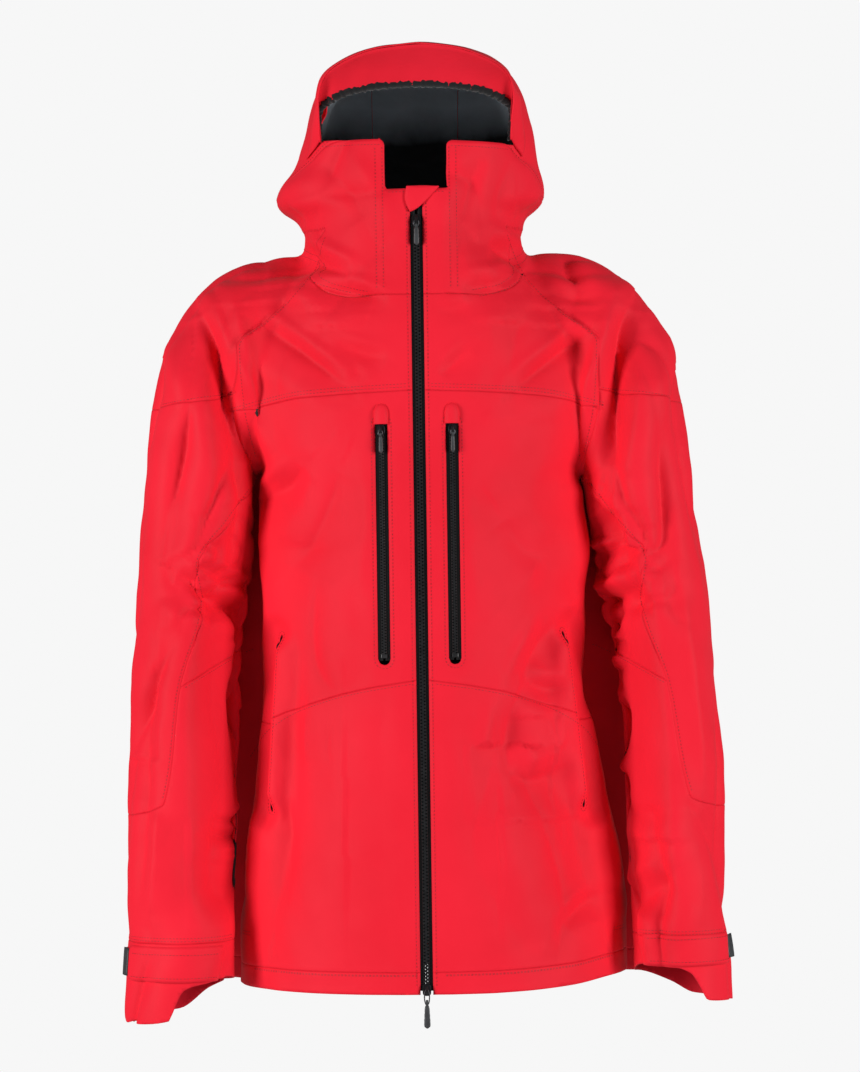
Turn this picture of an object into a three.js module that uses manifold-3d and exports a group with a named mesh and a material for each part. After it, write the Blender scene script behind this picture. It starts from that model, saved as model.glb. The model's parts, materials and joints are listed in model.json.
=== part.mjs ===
// Hooded hardshell jacket, standing as it is worn, zipped up with the hood raised.
// Millimetres, +Z up, the front faces -Y, and the wearer's left is +X.
// The garment is drawn with its hem at z = 0, and the origin is moved to the hang loop at the end.

import * as THREE from 'three';
import { RoundedBoxGeometry } from 'three/addons/geometries/RoundedBoxGeometry.js';
import { mergeGeometries, mergeVertices } from 'three/addons/utils/BufferGeometryUtils.js';
import Module from 'manifold-3d';

const wasm = await Module();
wasm.setup();

// ---------------------------------------------------------------- driving dimensions

const FABRIC = 3;                 // laminate with its lining, drawn thicker than cloth
const SEAM_GAP = 1;               // space between two panels at a seam
const AROUND_BODY = 24;           // corners in a section of the body
const AROUND_SLEEVE = 12;         // corners in a section of a sleeve
const BODY_POWER = 2.2;           // roundness of a body section: 2 is an ellipse
const REACH = 400;                // further out than any part of the garment

const FRONT_AT_HEM = 128;         // how far the front zip stands ahead of the body's middle
const ZIP_LEAN = 0.03;            // the zip leans back this much for each millimetre it rises
const HEM_SWING = 7;              // the hem and the cuffs swing this far to +X
const HEM_SWING_TOP = 350;

const HEM_BAND_TOP = 22;
const ZIP_BOTTOM = 4;
const ZIP_TOP = 788;
const NOTCH_BOTTOM = 806;
const NOTCH_HALF = 31;
const COLLAR_TOP = 855;
const CUFF_TOP = 50;
const UPPER_ARM_SEAM = 594;
const BACK_YOKE_SEAM = 600;

const HOOD_PIVOT = { y: 0, z: 802 };
const HOOD_STRIP_HALF = 46;

const HANG_LOOP = { y: 78.5, z: 758, half: 30, height: 8, tape: 2 };

const FRONT_ZIP = { tape: 6, chain: 3.4, half: 6.7, slider: 8.4, length: 12 };
const POCKET_ZIP = { tape: 5.6, chain: 3.1, half: 7, slider: 7.6, length: 11 };

// Body sections from the hem to the crown: height, half width, depth behind the middle,
// and depth ahead of it where that isn't the straight line of the zip.
const BODY_SECTIONS = [
  { z: 0, half: 190, back: 122 },
  { z: 150, half: 172, back: 121 },
  { z: 250, half: 160, back: 120 },
  { z: 350, half: 152, back: 120 },
  { z: 500, half: 157, back: 127 },
  { z: 540, half: 168, back: 129 },
  { z: 590, half: 182, back: 130 },
  { z: 640, half: 186, back: 126 },
  { z: 680, half: 166, back: 113 },
  { z: 720, half: 136, back: 101 },
  { z: 752, half: 112, back: 93 },
  { z: 780, half: 122, back: 103 },
  { z: 806, half: 128, back: 114 },
  { z: 850, half: 126, back: 131, front: 106 },
  { z: 880, half: 122, back: 135, front: 107 },
  { z: 905, half: 117, back: 131, front: 103 },
  { z: 925, half: 107, back: 120, front: 92 },
  { z: 942, half: 88, back: 100, front: 70 },
  { z: 955, half: 55, back: 68, front: 42 },
  { z: 961, half: 18, back: 22, front: 14 },
];

// Sleeve sections from the shoulder to the hand: centre, and half size across and in depth.
const SLEEVE_SECTIONS = [
  { x: 100, y: 5, z: 686, across: 54, deep: 56 },
  { x: 150, y: 4, z: 672, across: 64, deep: 66 },
  { x: 190, y: 2, z: 640, across: 68, deep: 72 },
  { x: 209, y: 0, z: 590, across: 62, deep: 77 },
  { x: 222.5, y: -2, z: 500, across: 57.5, deep: 78 },
  { x: 227, y: -8, z: 397, across: 64, deep: 74 },
  { x: 234, y: -20, z: 277, across: 67, deep: 68 },
  { x: 244.5, y: -36, z: 157, across: 60.5, deep: 58 },
  { x: 255, y: -48, z: 37, across: 55, deep: 48 },
  { x: 259, y: -54, z: -34, across: 54, deep: 46 },
];

// Seam lines on the +X side, each as [x, z] corners seen from the front.
const RAGLAN = [[92, 770], [112, 722], [150, 681], [184, 652], [181, UPPER_ARM_SEAM], [166, 516]];
const SLEEVE_SEAM = [[166, 516], [191, 480], [224, 430], [220, 396], [245, 308], [265, 192], [340, 168]];
const ELBOW_SEAM = [[245, 308], [176, 345], [150, 352]];
const CHEST_SEAM = [[0, 604], [119, 598], [196, 582]];
const WAIST_SEAM = [[0, 314], [68, 303], [121, 287], [160, 264], [184, 232]];
const UNDERARM_GAP = [[166, 516], [158.5, 480], [157.5, 352], [165, 250], [178.5, 150], [193, 50], [196, -10]];
const CHEST_CORNER = [179.4, 585.4];   // where the chest seam meets the raglan seam
const WAIST_CORNER = [164.3, 258.2];   // where the waist seam meets the underarm gap
const YOKE_CORNER = [181.3, BACK_YOKE_SEAM];
const CUFF_EDGE = [[190, 15], [236, 9], [262, -3], [274, -24], [340, -26]];

// Neck seam and cheek seam, each as [y, z] corners seen from the side.
const NECK_SEAM = [[-170, 700], [-100, 700], [-92, 703], [-60, 728], [-25, 745], [30, 757], [93, 768], [170, 773]];
const CHEEK_SEAM = [[-84, COLLAR_TOP + 2], [-50, 830], [HOOD_PIVOT.y, HOOD_PIVOT.z]];
const HOOD_BASE = [[HOOD_PIVOT.y, HOOD_PIVOT.z], [60, 812], [170, 824]];

// ---------------------------------------------------------------- materials

const cloth = (color) => new THREE.MeshStandardMaterial({ color, roughness: 0.62, metalness: 0 });
const SHELL_RED = cloth(0xee2b3b);
const SLEEVE_RED = cloth(0xd4303f);
const FACING_RED = cloth(0xb5202f);
const BINDING_BLACK = cloth(0x1b1c1e);
const LINING_GREY = cloth(0x5a5f64);
const zipBlack = new THREE.MeshStandardMaterial({ color: 0x141416, roughness: 0.45, metalness: 0.1 });
const rubberBlack = new THREE.MeshStandardMaterial({ color: 0x18181a, roughness: 0.7, metalness: 0 });

// ---------------------------------------------------------------- solids

/** A manifold solid from a closed three.js geometry. */
function solidOf(geometry) {
  const bare = geometry.index ? geometry.toNonIndexed() : geometry.clone();
  bare.deleteAttribute('normal');
  bare.deleteAttribute('uv');
  const merged = mergeVertices(bare, 1e-4);
  return new wasm.Manifold(new wasm.Mesh({
    numProp: 3,
    vertProperties: new Float32Array(merged.attributes.position.array),
    triVerts: new Uint32Array(merged.index.array),
  }));
}

/** A three.js geometry from a manifold solid. */
function geometryOf(solid) {
  const mesh = solid.getMesh();
  const geometry = new THREE.BufferGeometry();
  geometry.setAttribute('position', new THREE.BufferAttribute(new Float32Array(mesh.vertProperties), 3));
  geometry.setIndex(new THREE.BufferAttribute(new Uint32Array(mesh.triVerts), 1));
  geometry.computeVertexNormals();
  return geometry;
}

/** Closed geometry from a grid of corner rings: rows of points, joined row to row, with flat ends. */
function loft(rings) {
  const count = rings[0].length;
  const positions = rings.flat().flatMap((point) => [point.x, point.y, point.z]);
  const index = [];
  for (let row = 0; row + 1 < rings.length; row += 1) {
    for (let side = 0; side < count; side += 1) {
      const next = (side + 1) % count;
      const a = row * count + side;
      const b = row * count + next;
      index.push(a, b, b + count, a, b + count, a + count);
    }
  }
  const last = (rings.length - 1) * count;
  for (let side = 1; side + 1 < count; side += 1) {
    index.push(0, side + 1, side, last, last + side, last + side + 1);
  }
  return outward(positions, index);
}

/** Turns a closed surface so that its faces point out. */
function outward(positions, index) {
  let volume = 0;
  const corner = (number) => new THREE.Vector3().fromArray(positions, index[number] * 3);
  for (let first = 0; first < index.length; first += 3) {
    volume += corner(first).dot(corner(first + 1).cross(corner(first + 2)));
  }
  if (volume < 0) {
    index.reverse();
  }
  const geometry = new THREE.BufferGeometry();
  geometry.setAttribute('position', new THREE.Float32BufferAttribute(positions, 3));
  geometry.setIndex(index);
  geometry.computeVertexNormals();
  return geometry;
}

/** A thin closed strip lying along a surface: surface(u, v, offset) gives its points. */
function strip(surface, us, vs, low, high) {
  const rings = us.map((u) => [
    ...vs.map((v) => surface(u, v, low)),
    ...[...vs].reverse().map((v) => surface(u, v, high)),
  ]);
  return loft(rings);
}

/** Evenly spaced numbers from one value to another. */
function steps(from, to, count) {
  return Array.from({ length: count + 1 }, (_, number) => from + ((to - from) * number) / count);
}

/** A straight-sided block along Y with an outline of [x, z] corners. */
function blockAlongY(outline, fromY, toY) {
  const ring = (y) => outline.map(([x, z]) => new THREE.Vector3(x, y, z));
  return prism(outline, ring(fromY), ring(toY));
}

/** A straight-sided block along X with an outline of [y, z] corners. */
function blockAlongX(outline, fromX, toX) {
  const ring = (x) => outline.map(([y, z]) => new THREE.Vector3(x, y, z));
  return prism(outline, ring(fromX), ring(toX));
}

/** Joins two copies of a flat outline, which may be concave, into a solid. */
function prism(outline, near, far) {
  const flat = outline.map(([across, up]) => new THREE.Vector2(across, up));
  const count = flat.length;
  const turn = Math.sign(THREE.ShapeUtils.area(flat));
  const positions = [...near, ...far].flatMap((point) => [point.x, point.y, point.z]);
  const index = [];
  for (const corners of THREE.ShapeUtils.triangulateShape(flat, [])) {
    // Each end triangle is made to turn the same way as the outline.
    const same = Math.sign(THREE.ShapeUtils.area(corners.map((corner) => flat[corner]))) === turn;
    const [a, b, c] = same ? corners : [...corners].reverse();
    index.push(a, b, c, count + a, count + c, count + b);
  }
  for (let side = 0; side < count; side += 1) {
    const next = (side + 1) % count;
    index.push(side, count + side, count + next, side, count + next, next);
  }
  return solidOf(outward(positions, index));
}

/** A thin wall along Y that follows a line of [x, z] corners, for cutting a seam. */
function seamWall(line, fromY, toY) {
  let wall = null;
  for (let corner = 0; corner + 1 < line.length; corner += 1) {
    const [x0, z0] = line[corner];
    const [x1, z1] = line[corner + 1];
    const length = Math.hypot(x1 - x0, z1 - z0);
    const along = [(x1 - x0) / length, (z1 - z0) / length];
    const half = SEAM_GAP / 2;
    const corners = [[-half, -half], [length + half, -half], [length + half, half], [-half, half]];
    const outline = corners.map(([run, side]) => [
      x0 + along[0] * run - along[1] * side,
      z0 + along[1] * run + along[0] * side,
    ]);
    const piece = blockAlongY(outline, fromY, toY);
    wall = wall ? wall.add(piece) : piece;
  }
  return wall;
}

/** The same wall along X, for a line of [y, z] corners. */
function sideSeamWall(line) {
  const turn = new THREE.Matrix4().makeRotationZ(-Math.PI / 2);
  const wall = geometryOf(seamWall(line, -REACH, REACH));
  wall.applyMatrix4(turn);
  // The turn sends +X to -Y, so the line is mirrored back before it is used.
  const flip = new THREE.Matrix4().makeScale(1, -1, 1);
  wall.applyMatrix4(flip);
  return solidOf(outward([...wall.attributes.position.array], [...wall.index.array]));
}

// ---------------------------------------------------------------- the garment's surfaces

/** How far the garment swings to +X at this height. */
const swing = (z) => HEM_SWING * Math.max(0, 1 - Math.max(0, z) / HEM_SWING_TOP);

/** The depth of the straight front zip ahead of the body's middle. */
const zipDepth = (z) => FRONT_AT_HEM - ZIP_LEAN * z;

/** The body's half width, front depth and back depth at a height. */
function bodySize(z) {
  const sections = BODY_SECTIONS;
  let upper = sections.findIndex((section) => section.z >= z);
  upper = Math.min(Math.max(upper, 1), sections.length - 1);
  const [low, high] = [sections[upper - 1], sections[upper]];
  const share = (z - low.z) / (high.z - low.z);
  const front = (section) => section.front ?? zipDepth(section.z);
  return {
    half: THREE.MathUtils.lerp(low.half, high.half, share),
    back: THREE.MathUtils.lerp(low.back, high.back, share),
    front: THREE.MathUtils.lerp(front(low), front(high), share),
  };
}

/** A point on the body at an angle from +X towards the back, moved out by an offset. */
function bodyPoint(angle, z, offset) {
  const { half, back, front } = bodySize(z);
  const round = (value) => Math.sign(value) * Math.abs(value) ** (2 / BODY_POWER);
  const across = round(Math.cos(angle));
  const deep = round(Math.sin(angle));
  const depth = deep < 0 ? front : back;
  return new THREE.Vector3(swing(z) + (half + offset) * across, (depth + offset) * deep, z);
}

/** A whole section of the body, as a ring of corners. */
function bodyRing(z, offset) {
  return steps(0, 2 * Math.PI, AROUND_BODY).slice(0, -1).map((angle) => bodyPoint(angle, z, offset));
}

/** A point on a sleeve: side is 1 for the wearer's left, row counts the sections from the shoulder. */
function sleevePoint(side, angle, row, offset) {
  const sections = SLEEVE_SECTIONS;
  const low = Math.min(Math.floor(row), sections.length - 2);
  const share = row - low;
  const mix = (key) => THREE.MathUtils.lerp(sections[low][key], sections[low + 1][key], share);
  const run = new THREE.Vector2(
    sections[Math.min(low + 1, sections.length - 1)].x - sections[Math.max(low - (share < 0.5 ? 1 : 0), 0)].x,
    sections[Math.min(low + 1, sections.length - 1)].z - sections[Math.max(low - (share < 0.5 ? 1 : 0), 0)].z,
  ).normalize();
  const across = (mix('across') + offset) * Math.cos(angle);
  const x = mix('x') - run.y * across;
  const z = mix('z') + run.x * across;
  return new THREE.Vector3(side * x + swing(z), mix('y') + (mix('deep') + offset) * Math.sin(angle), z);
}

/** The whole sleeve as a solid. */
function sleeveSolid(side, offset, overrun) {
  const rings = SLEEVE_SECTIONS.map((_, row) => steps(0, 2 * Math.PI, AROUND_SLEEVE).slice(0, -1)
    .map((angle) => sleevePoint(side, angle, row, offset)));
  if (overrun) {
    rings.push(rings.at(-1).map((point) => point.clone().add(new THREE.Vector3(side * 2, -2, -20))));
  }
  return solidOf(loft(rings));
}

/** The whole body as a solid. */
function bodySolid(offset, overrun) {
  const rows = BODY_SECTIONS.map((section) => bodyRing(Math.min(section.z, 961 + offset), offset));
  if (overrun) {
    rows.unshift(rows[0].map((point) => point.clone().setZ(-20)));
  }
  return solidOf(loft(rows));
}

/** The hollow garment, before it is cut into panels. */
function garmentShell() {
  const outside = bodySolid(0, false).add(sleeveSolid(1, 0, false)).add(sleeveSolid(-1, 0, false));
  const inside = bodySolid(-FABRIC, true).add(sleeveSolid(1, -FABRIC, true)).add(sleeveSolid(-1, -FABRIC, true));
  return outside.subtract(inside);
}

// ---------------------------------------------------------------- seams and panels

/** A line on the +X side, swung and mirrored for the side that is wanted. */
const onSide = (line, side) => line.map(([x, z]) => [side * x + swing(z), z]);

/** The garment with every seam cut through it. */
function seamedShell(windows) {
  let shell = garmentShell();
  for (const side of [1, -1]) {
    for (const line of [RAGLAN, SLEEVE_SEAM, ELBOW_SEAM]) {
      shell = shell.subtract(seamWall(onSide(line, side), -REACH, REACH));
    }
    for (const line of [CHEST_SEAM, WAIST_SEAM]) {
      shell = shell.subtract(seamWall(onSide(line, side), -REACH, 0));
    }
  }
  for (const line of [NECK_SEAM, CHEEK_SEAM, HOOD_BASE, [[HOOD_PIVOT.y, HOOD_PIVOT.z], [-4, 752]]]) {
    shell = shell.subtract(sideSeamWall(line));
  }
  for (const window of windows) {
    shell = shell.subtract(window);
  }
  return shell;
}

/** The face opening with the chin notch below it. */
function faceOpening() {
  const outline = [
    [-NOTCH_HALF, NOTCH_BOTTOM], [NOTCH_HALF, NOTCH_BOTTOM], [NOTCH_HALF, COLLAR_TOP], [97, COLLAR_TOP],
    [99, 880], [60, 900], [0, 906], [-60, 900], [-99, 880], [-97, COLLAR_TOP], [-NOTCH_HALF, COLLAR_TOP],
  ];
  return blockAlongY(outline, -REACH, -30);
}

/** The slit that the front zip closes. */
function frontSlit() {
  const { half } = FRONT_ZIP;
  return blockAlongY([[-half, -30], [half, -30], [half, NOTCH_BOTTOM + 2], [-half, NOTCH_BOTTOM + 2]], -REACH, 0);
}

/** Everything below the neck seam, and everything above it. */
const BELOW_NECK = blockAlongX([...NECK_SEAM, [170, -100], [-170, -100]], -REACH, REACH);
const ABOVE_NECK = blockAlongX([...NECK_SEAM, [170, 1000], [-170, 1000]], -REACH, REACH);

const FRONT_HALF = blockAlongY([[-REACH, -100], [REACH, -100], [REACH, 1000], [-REACH, 1000]], -REACH, -SEAM_GAP / 2);
const BACK_HALF = blockAlongY([[-REACH, -100], [REACH, -100], [REACH, 1000], [-REACH, 1000]], SEAM_GAP / 2, REACH);

/** The panel that fills an outline of [x, z] corners on one side. */
function panel(shell, outline, side, half) {
  let piece = shell.intersect(blockAlongY(onSide(outline, side), -REACH, REACH)).intersect(BELOW_NECK);
  if (half) {
    piece = piece.intersect(half);
  }
  return geometryOf(piece);
}

const reversed = (line) => [...line].reverse();
const between = (line, top, bottom) => line.filter(([, z]) => z < top && z > bottom);

/** Outlines on the +X side of the panels that make each front, its sleeve and the cuff. */
const OUTLINES = {
  front_yoke: [[0, 604], [119, 598], CHEST_CORNER, ...reversed(between(RAGLAN, 800, 590)), [0, 770]],
  front_panel: [[0, 314], [68, 303], [121, 287], [160, 264], WAIST_CORNER, [157.5, 352], [158.5, 480],
    [166, 516], CHEST_CORNER, [119, 598], [0, 604]],
  front_lower: [[0, HEM_BAND_TOP], [194.5, HEM_BAND_TOP], [193, 50], [178.5, 150], [165, 250], WAIST_CORNER,
    [160, 264], [121, 287], [68, 303], [0, 314]],
  shoulder: [...between(RAGLAN, 800, 590), [340, UPPER_ARM_SEAM], [340, 770]],
  sleeve_outer: [[181, UPPER_ARM_SEAM], ...SLEEVE_SEAM, [340, UPPER_ARM_SEAM]],
  sleeve_under: [...SLEEVE_SEAM.slice(0, 5), [176, 345], [157.5, 350], [158.5, 480]],
  forearm: [[157.5, 350], [176, 345], [245, 308], [265, 192], [340, 168], [340, CUFF_TOP],
    [193, CUFF_TOP], [178.5, 150], [165, 250]],
  cuff: [[193, CUFF_TOP], [340, CUFF_TOP], ...reversed(CUFF_EDGE)],
};

/** Seams that run straight across: upper arm, cuff, hem band and back yoke. */
function straightSeams() {
  const walls = [
    seamWall([[-REACH, HEM_BAND_TOP], [REACH, HEM_BAND_TOP]].map(([x, z]) => [x * 0.48, z]), -REACH, REACH),
    seamWall([[-184, BACK_YOKE_SEAM], [184, BACK_YOKE_SEAM]], 0, REACH),
  ];
  for (const side of [1, -1]) {
    walls.push(seamWall([[side * 181, UPPER_ARM_SEAM], [side * 340, UPPER_ARM_SEAM]], -REACH, REACH));
    walls.push(seamWall(onSide([[194, CUFF_TOP], [340, CUFF_TOP]], side), -REACH, REACH));
  }
  return walls;
}

/** Panels of both fronts and both sleeves. */
function frontAndSleevePanels(shell, add) {
  const colours = { shoulder: SLEEVE_RED, sleeve_outer: SLEEVE_RED, sleeve_under: SLEEVE_RED, forearm: SLEEVE_RED };
  for (const [side, word] of [[1, 'left'], [-1, 'right']]) {
    for (const [name, outline] of Object.entries(OUTLINES)) {
      const half = name.startsWith('front') ? FRONT_HALF : null;
      add(`${name}_${word}`, panel(shell, outline, side, half), colours[name] ?? SHELL_RED);
    }
  }
}

/** Panels of the back, and the band round the hem. */
function backPanels(shell, add) {
  const both = (line) => [...onSide(line, 1), ...reversed(onSide(line, -1))];
  const yoke = both([...RAGLAN.slice(0, 4), YOKE_CORNER]);
  const main = both([YOKE_CORNER, ...RAGLAN.slice(4), ...between(UNDERARM_GAP, 510, HEM_BAND_TOP), [195, HEM_BAND_TOP]]);
  const band = both([[195, HEM_BAND_TOP], [198, -10]]);
  const cut = (outline) => shell.intersect(blockAlongY(outline, -REACH, REACH)).intersect(BELOW_NECK);
  add('back_yoke', geometryOf(cut(yoke).intersect(BACK_HALF)), SHELL_RED);
  add('back_panel', geometryOf(cut(main).intersect(BACK_HALF)), SHELL_RED);
  add('hem_band', geometryOf(cut(band)), SHELL_RED);
}

/** Collar halves, the gusset behind the neck and the three panels of the hood. */
function collarAndHood(shell, add) {
  const above = shell.intersect(ABOVE_NECK);
  const collar = blockAlongX([[-170, 690], [-4, 690], [-4, 752], ...reversed(CHEEK_SEAM), [-170, COLLAR_TOP + 2]],
    -REACH, REACH);
  const gusset = blockAlongX([[-4, 700], [170, 700], ...reversed(HOOD_BASE), [-4, 752]], -REACH, REACH);
  const hood = blockAlongX([[-170, COLLAR_TOP + 2], ...CHEEK_SEAM, ...HOOD_BASE.slice(1), [170, 1000], [-170, 1000]],
    -REACH, REACH);
  const slab = (from, to) => blockAlongY([[from, 600], [to, 600], [to, 1000], [from, 1000]], -REACH, REACH);
  const edge = HOOD_STRIP_HALF;
  add('collar_left', geometryOf(above.intersect(collar).intersect(slab(1, REACH))), SHELL_RED);
  add('collar_right', geometryOf(above.intersect(collar).intersect(slab(-REACH, -1))), SHELL_RED);
  add('neck_gusset', geometryOf(above.intersect(gusset)), SHELL_RED);
  add('hood_centre', geometryOf(above.intersect(hood).intersect(slab(-edge, edge))), SHELL_RED);
  add('hood_side_left', geometryOf(above.intersect(hood).intersect(slab(edge + SEAM_GAP, REACH))), SHELL_RED);
  add('hood_side_right', geometryOf(above.intersect(hood).intersect(slab(-REACH, -edge - SEAM_GAP))), SHELL_RED);
}

// ---------------------------------------------------------------- brim

/** The line where the brim meets the hood, and the brim's free edge; t runs from -1 to 1 across. */
function brimPoint(t, out, lift) {
  const bend = Math.abs(t) ** 2.2;
  const root = new THREE.Vector3(99 * t, -108 + 34 * bend, 909 - 26 * bend);
  const edge = new THREE.Vector3(103 * t, -140 + 46 * bend, 949 - 30 * bend);
  const point = root.lerp(edge, out);
  // The brim's own normal leans up and forward.
  return point.add(new THREE.Vector3(0, -0.68 * lift, -0.73 * lift));
}

function hoodBrim(add) {
  const across = steps(-1, 1, 14);
  add('hood_brim', strip((t, out, lift) => brimPoint(t, out, lift), across, [0.03, 1], -2.6, 0), SHELL_RED);
  add('brim_facing', strip((t, out, lift) => brimPoint(t, out, lift), across, [0.04, 0.97], 1.5, 2.7), FACING_RED);
  const tunnel = (t, drop, deep) => {
    const root = brimPoint(t * 0.97, 0, 0);
    return root.add(new THREE.Vector3(0, 3 + deep, -4.5 - drop));
  };
  add('hood_binding', strip(tunnel, across, [0, 8], 0, 3), BINDING_BLACK);
}

// ---------------------------------------------------------------- zips

/** One side of a zip: its tape with the moulded chain along the inner edge. */
function zipSide(size, side, low, high) {
  const gap = 0.9;
  const profile = [
    [gap, -0.2], [size.chain, -0.2], [size.chain, 0.8], [size.tape, 0.8],
    [size.tape, 1.8], [size.chain, 1.8], [size.chain, 2.6], [gap, 2.6],
  ];
  const ring = (z) => profile.map(([x, y]) => new THREE.Vector3(side * x, y, z));
  const flat = profile.map(([x, y]) => [side * x, y]);
  return geometryOf(prism(flat, ring(low), ring(high)));
}

/** A pocket zip is one piece: both sides with a stop bridging them at the bottom. */
function pocketZip(size, low, high) {
  const stop = solidOf(new RoundedBoxGeometry(size.tape * 2, 1, 4, 1, 0.3).translate(0, 1.3, low + 2));
  return geometryOf(solidOf(zipSide(size, 1, low, high)).add(solidOf(zipSide(size, -1, low, high))).add(stop));
}

/** A slider: front and back plates joined between the chains, with two ears for its puller. */
function sliderGeometry(size) {
  const wide = size.slider / 2;
  const tall = size.length / 2;
  const plate = new THREE.Shape([
    new THREE.Vector2(-wide, tall - 3), new THREE.Vector2(-wide + 2, tall), new THREE.Vector2(wide - 2, tall),
    new THREE.Vector2(wide, tall - 3), new THREE.Vector2(wide - 1.2, -tall), new THREE.Vector2(-wide + 1.2, -tall),
  ]);
  const flat = (depth, y) => {
    const geometry = new THREE.ExtrudeGeometry(plate, { depth, bevelEnabled: false, steps: 1 });
    geometry.rotateX(Math.PI / 2);
    return solidOf(geometry.translate(0, y, 0));
  };
  const neck = solidOf(new THREE.BoxGeometry(1, 6, 4).translate(0, 1.2, tall - 3));
  let slider = flat(1.6, -0.6).add(flat(1.2, 4.2)).add(neck);
  for (const side of [-1, 1]) {
    slider = slider.add(solidOf(new THREE.BoxGeometry(1, 3.6, 3).translate(side * 2.1, PULLER_AXIS + 1.2, 0)));
  }
  return geometryOf(slider);
}

const PULLER_AXIS = -4;           // the puller's pin stands this far ahead of the zip

/** A puller hanging from its barrel: a narrow bail and a longer flared grip. */
function pullerGeometry(bail, grip, width) {
  const barrel = solidOf(new THREE.CylinderGeometry(1.1, 1.1, 2.4, 12).rotateZ(Math.PI / 2));
  const link = solidOf(new THREE.BoxGeometry(2, 1.5, bail + 1.5).translate(0, 0, -bail / 2 - 0.4));
  const top = width * 0.36;
  const low = width / 2;
  const outline = new THREE.Shape();
  outline.moveTo(-top, 0);
  outline.lineTo(top, 0);
  outline.lineTo(low, -grip + low);
  outline.absarc(0, -grip + low, low, 0, -Math.PI, true);
  const handle = new THREE.ExtrudeGeometry(outline, { depth: 2, bevelEnabled: false, curveSegments: 6 });
  handle.rotateX(Math.PI / 2);
  return geometryOf(barrel.add(link).add(solidOf(handle.translate(0, 1, -bail))));
}

/** A matrix for a straight zip between two points on the garment, with -Y facing outwards. */
function zipPlacement(low, high, outwards) {
  const up = high.clone().sub(low).normalize();
  const inwards = outwards.clone().negate();
  const across = inwards.clone().cross(up).normalize();
  inwards.crossVectors(up, across);
  return new THREE.Matrix4().makeBasis(across, inwards, up).setPosition(low);
}

/** Where a zip lies on the body, between two heights at one angle. */
function zipOnBody(angleLow, angleHigh, low, high) {
  const bottom = bodyPoint(angleLow, low, 0);
  const top = bodyPoint(angleHigh, high, 0);
  const ahead = bodyPoint(angleLow + 0.03, low, 0).sub(bodyPoint(angleLow - 0.03, low, 0));
  const outwards = ahead.cross(new THREE.Vector3(0, 0, 1)).normalize();
  return { placement: zipPlacement(bottom, top, outwards), length: top.distanceTo(bottom) };
}

/** The body angle where a vertical line at x crosses the front at a height. */
function frontAngle(x, z) {
  const { half } = bodySize(z);
  const share = Math.abs(x - swing(z)) / half;
  const cosine = share ** (BODY_POWER / 2);
  return -Math.PI / 2 + Math.sign(x) * Math.asin(cosine);
}

const CHEST_ZIPS = [
  { word: 'left', x: 33, side: 1 },
  { word: 'right', x: -38, side: -1 },
];
const CHEST_ZIP_LOW = 335;
const CHEST_ZIP_HIGH = 570;
const HAND_ZIP_LOW = 185;
const HAND_ZIP_HIGH = 352;
const HAND_ZIP_TURN = 0.36;       // the hand pocket lies this far ahead of the side, in radians

const pocketPlaces = [];
for (const { word, x, side } of CHEST_ZIPS) {
  const place = zipOnBody(frontAngle(x, CHEST_ZIP_LOW), frontAngle(x, CHEST_ZIP_HIGH), CHEST_ZIP_LOW, CHEST_ZIP_HIGH);
  pocketPlaces.push({ name: `chest_${word}`, side, ...place });
}
for (const [side, word] of [[1, 'left'], [-1, 'right']]) {
  const angle = side > 0 ? -HAND_ZIP_TURN : -Math.PI + HAND_ZIP_TURN;
  pocketPlaces.push({ name: `hand_${word}`, side, ...zipOnBody(angle, angle, HAND_ZIP_LOW, HAND_ZIP_HIGH) });
}

/** The window that a pocket zip is welded into. */
function zipWindow({ placement, length }) {
  const box = new THREE.BoxGeometry(POCKET_ZIP.half * 2, 22, length + 4);
  box.translate(0, 0, length / 2);
  return solidOf(box.applyMatrix4(placement));
}

/** Adds a mesh inside a group that is placed by a matrix. */
function placed(group, placement) {
  const holder = new THREE.Group();
  holder.applyMatrix4(placement);
  group.add(holder);
  return holder;
}

function pocketZips(group) {
  for (const { name, placement, length } of pocketPlaces) {
    const holder = placed(group, placement);
    const sliderAt = length - POCKET_ZIP.length / 2 - 1;
    addMesh(holder, `${name}_zip`, pocketZip(POCKET_ZIP, 0, length), zipBlack);
    addMesh(holder, `${name}_slider`, sliderGeometry(POCKET_ZIP), zipBlack).position.z = sliderAt;
    addMesh(holder, `${name}_puller`, pullerGeometry(5, 18, 5), rubberBlack).position.set(0, PULLER_AXIS, sliderAt);
  }
}

/** Domed covers that the chest sliders park against. */
function chestGarages(group) {
  for (const { name, placement, length } of pocketPlaces.slice(0, 2)) {
    const cover = new RoundedBoxGeometry(13, 4, 18, 1, 1.6);
    const mesh = addMesh(placed(group, placement), `${name}_garage`, cover, SHELL_RED);
    mesh.position.set(0, -3, length + 12.4);
  }
}

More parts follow.
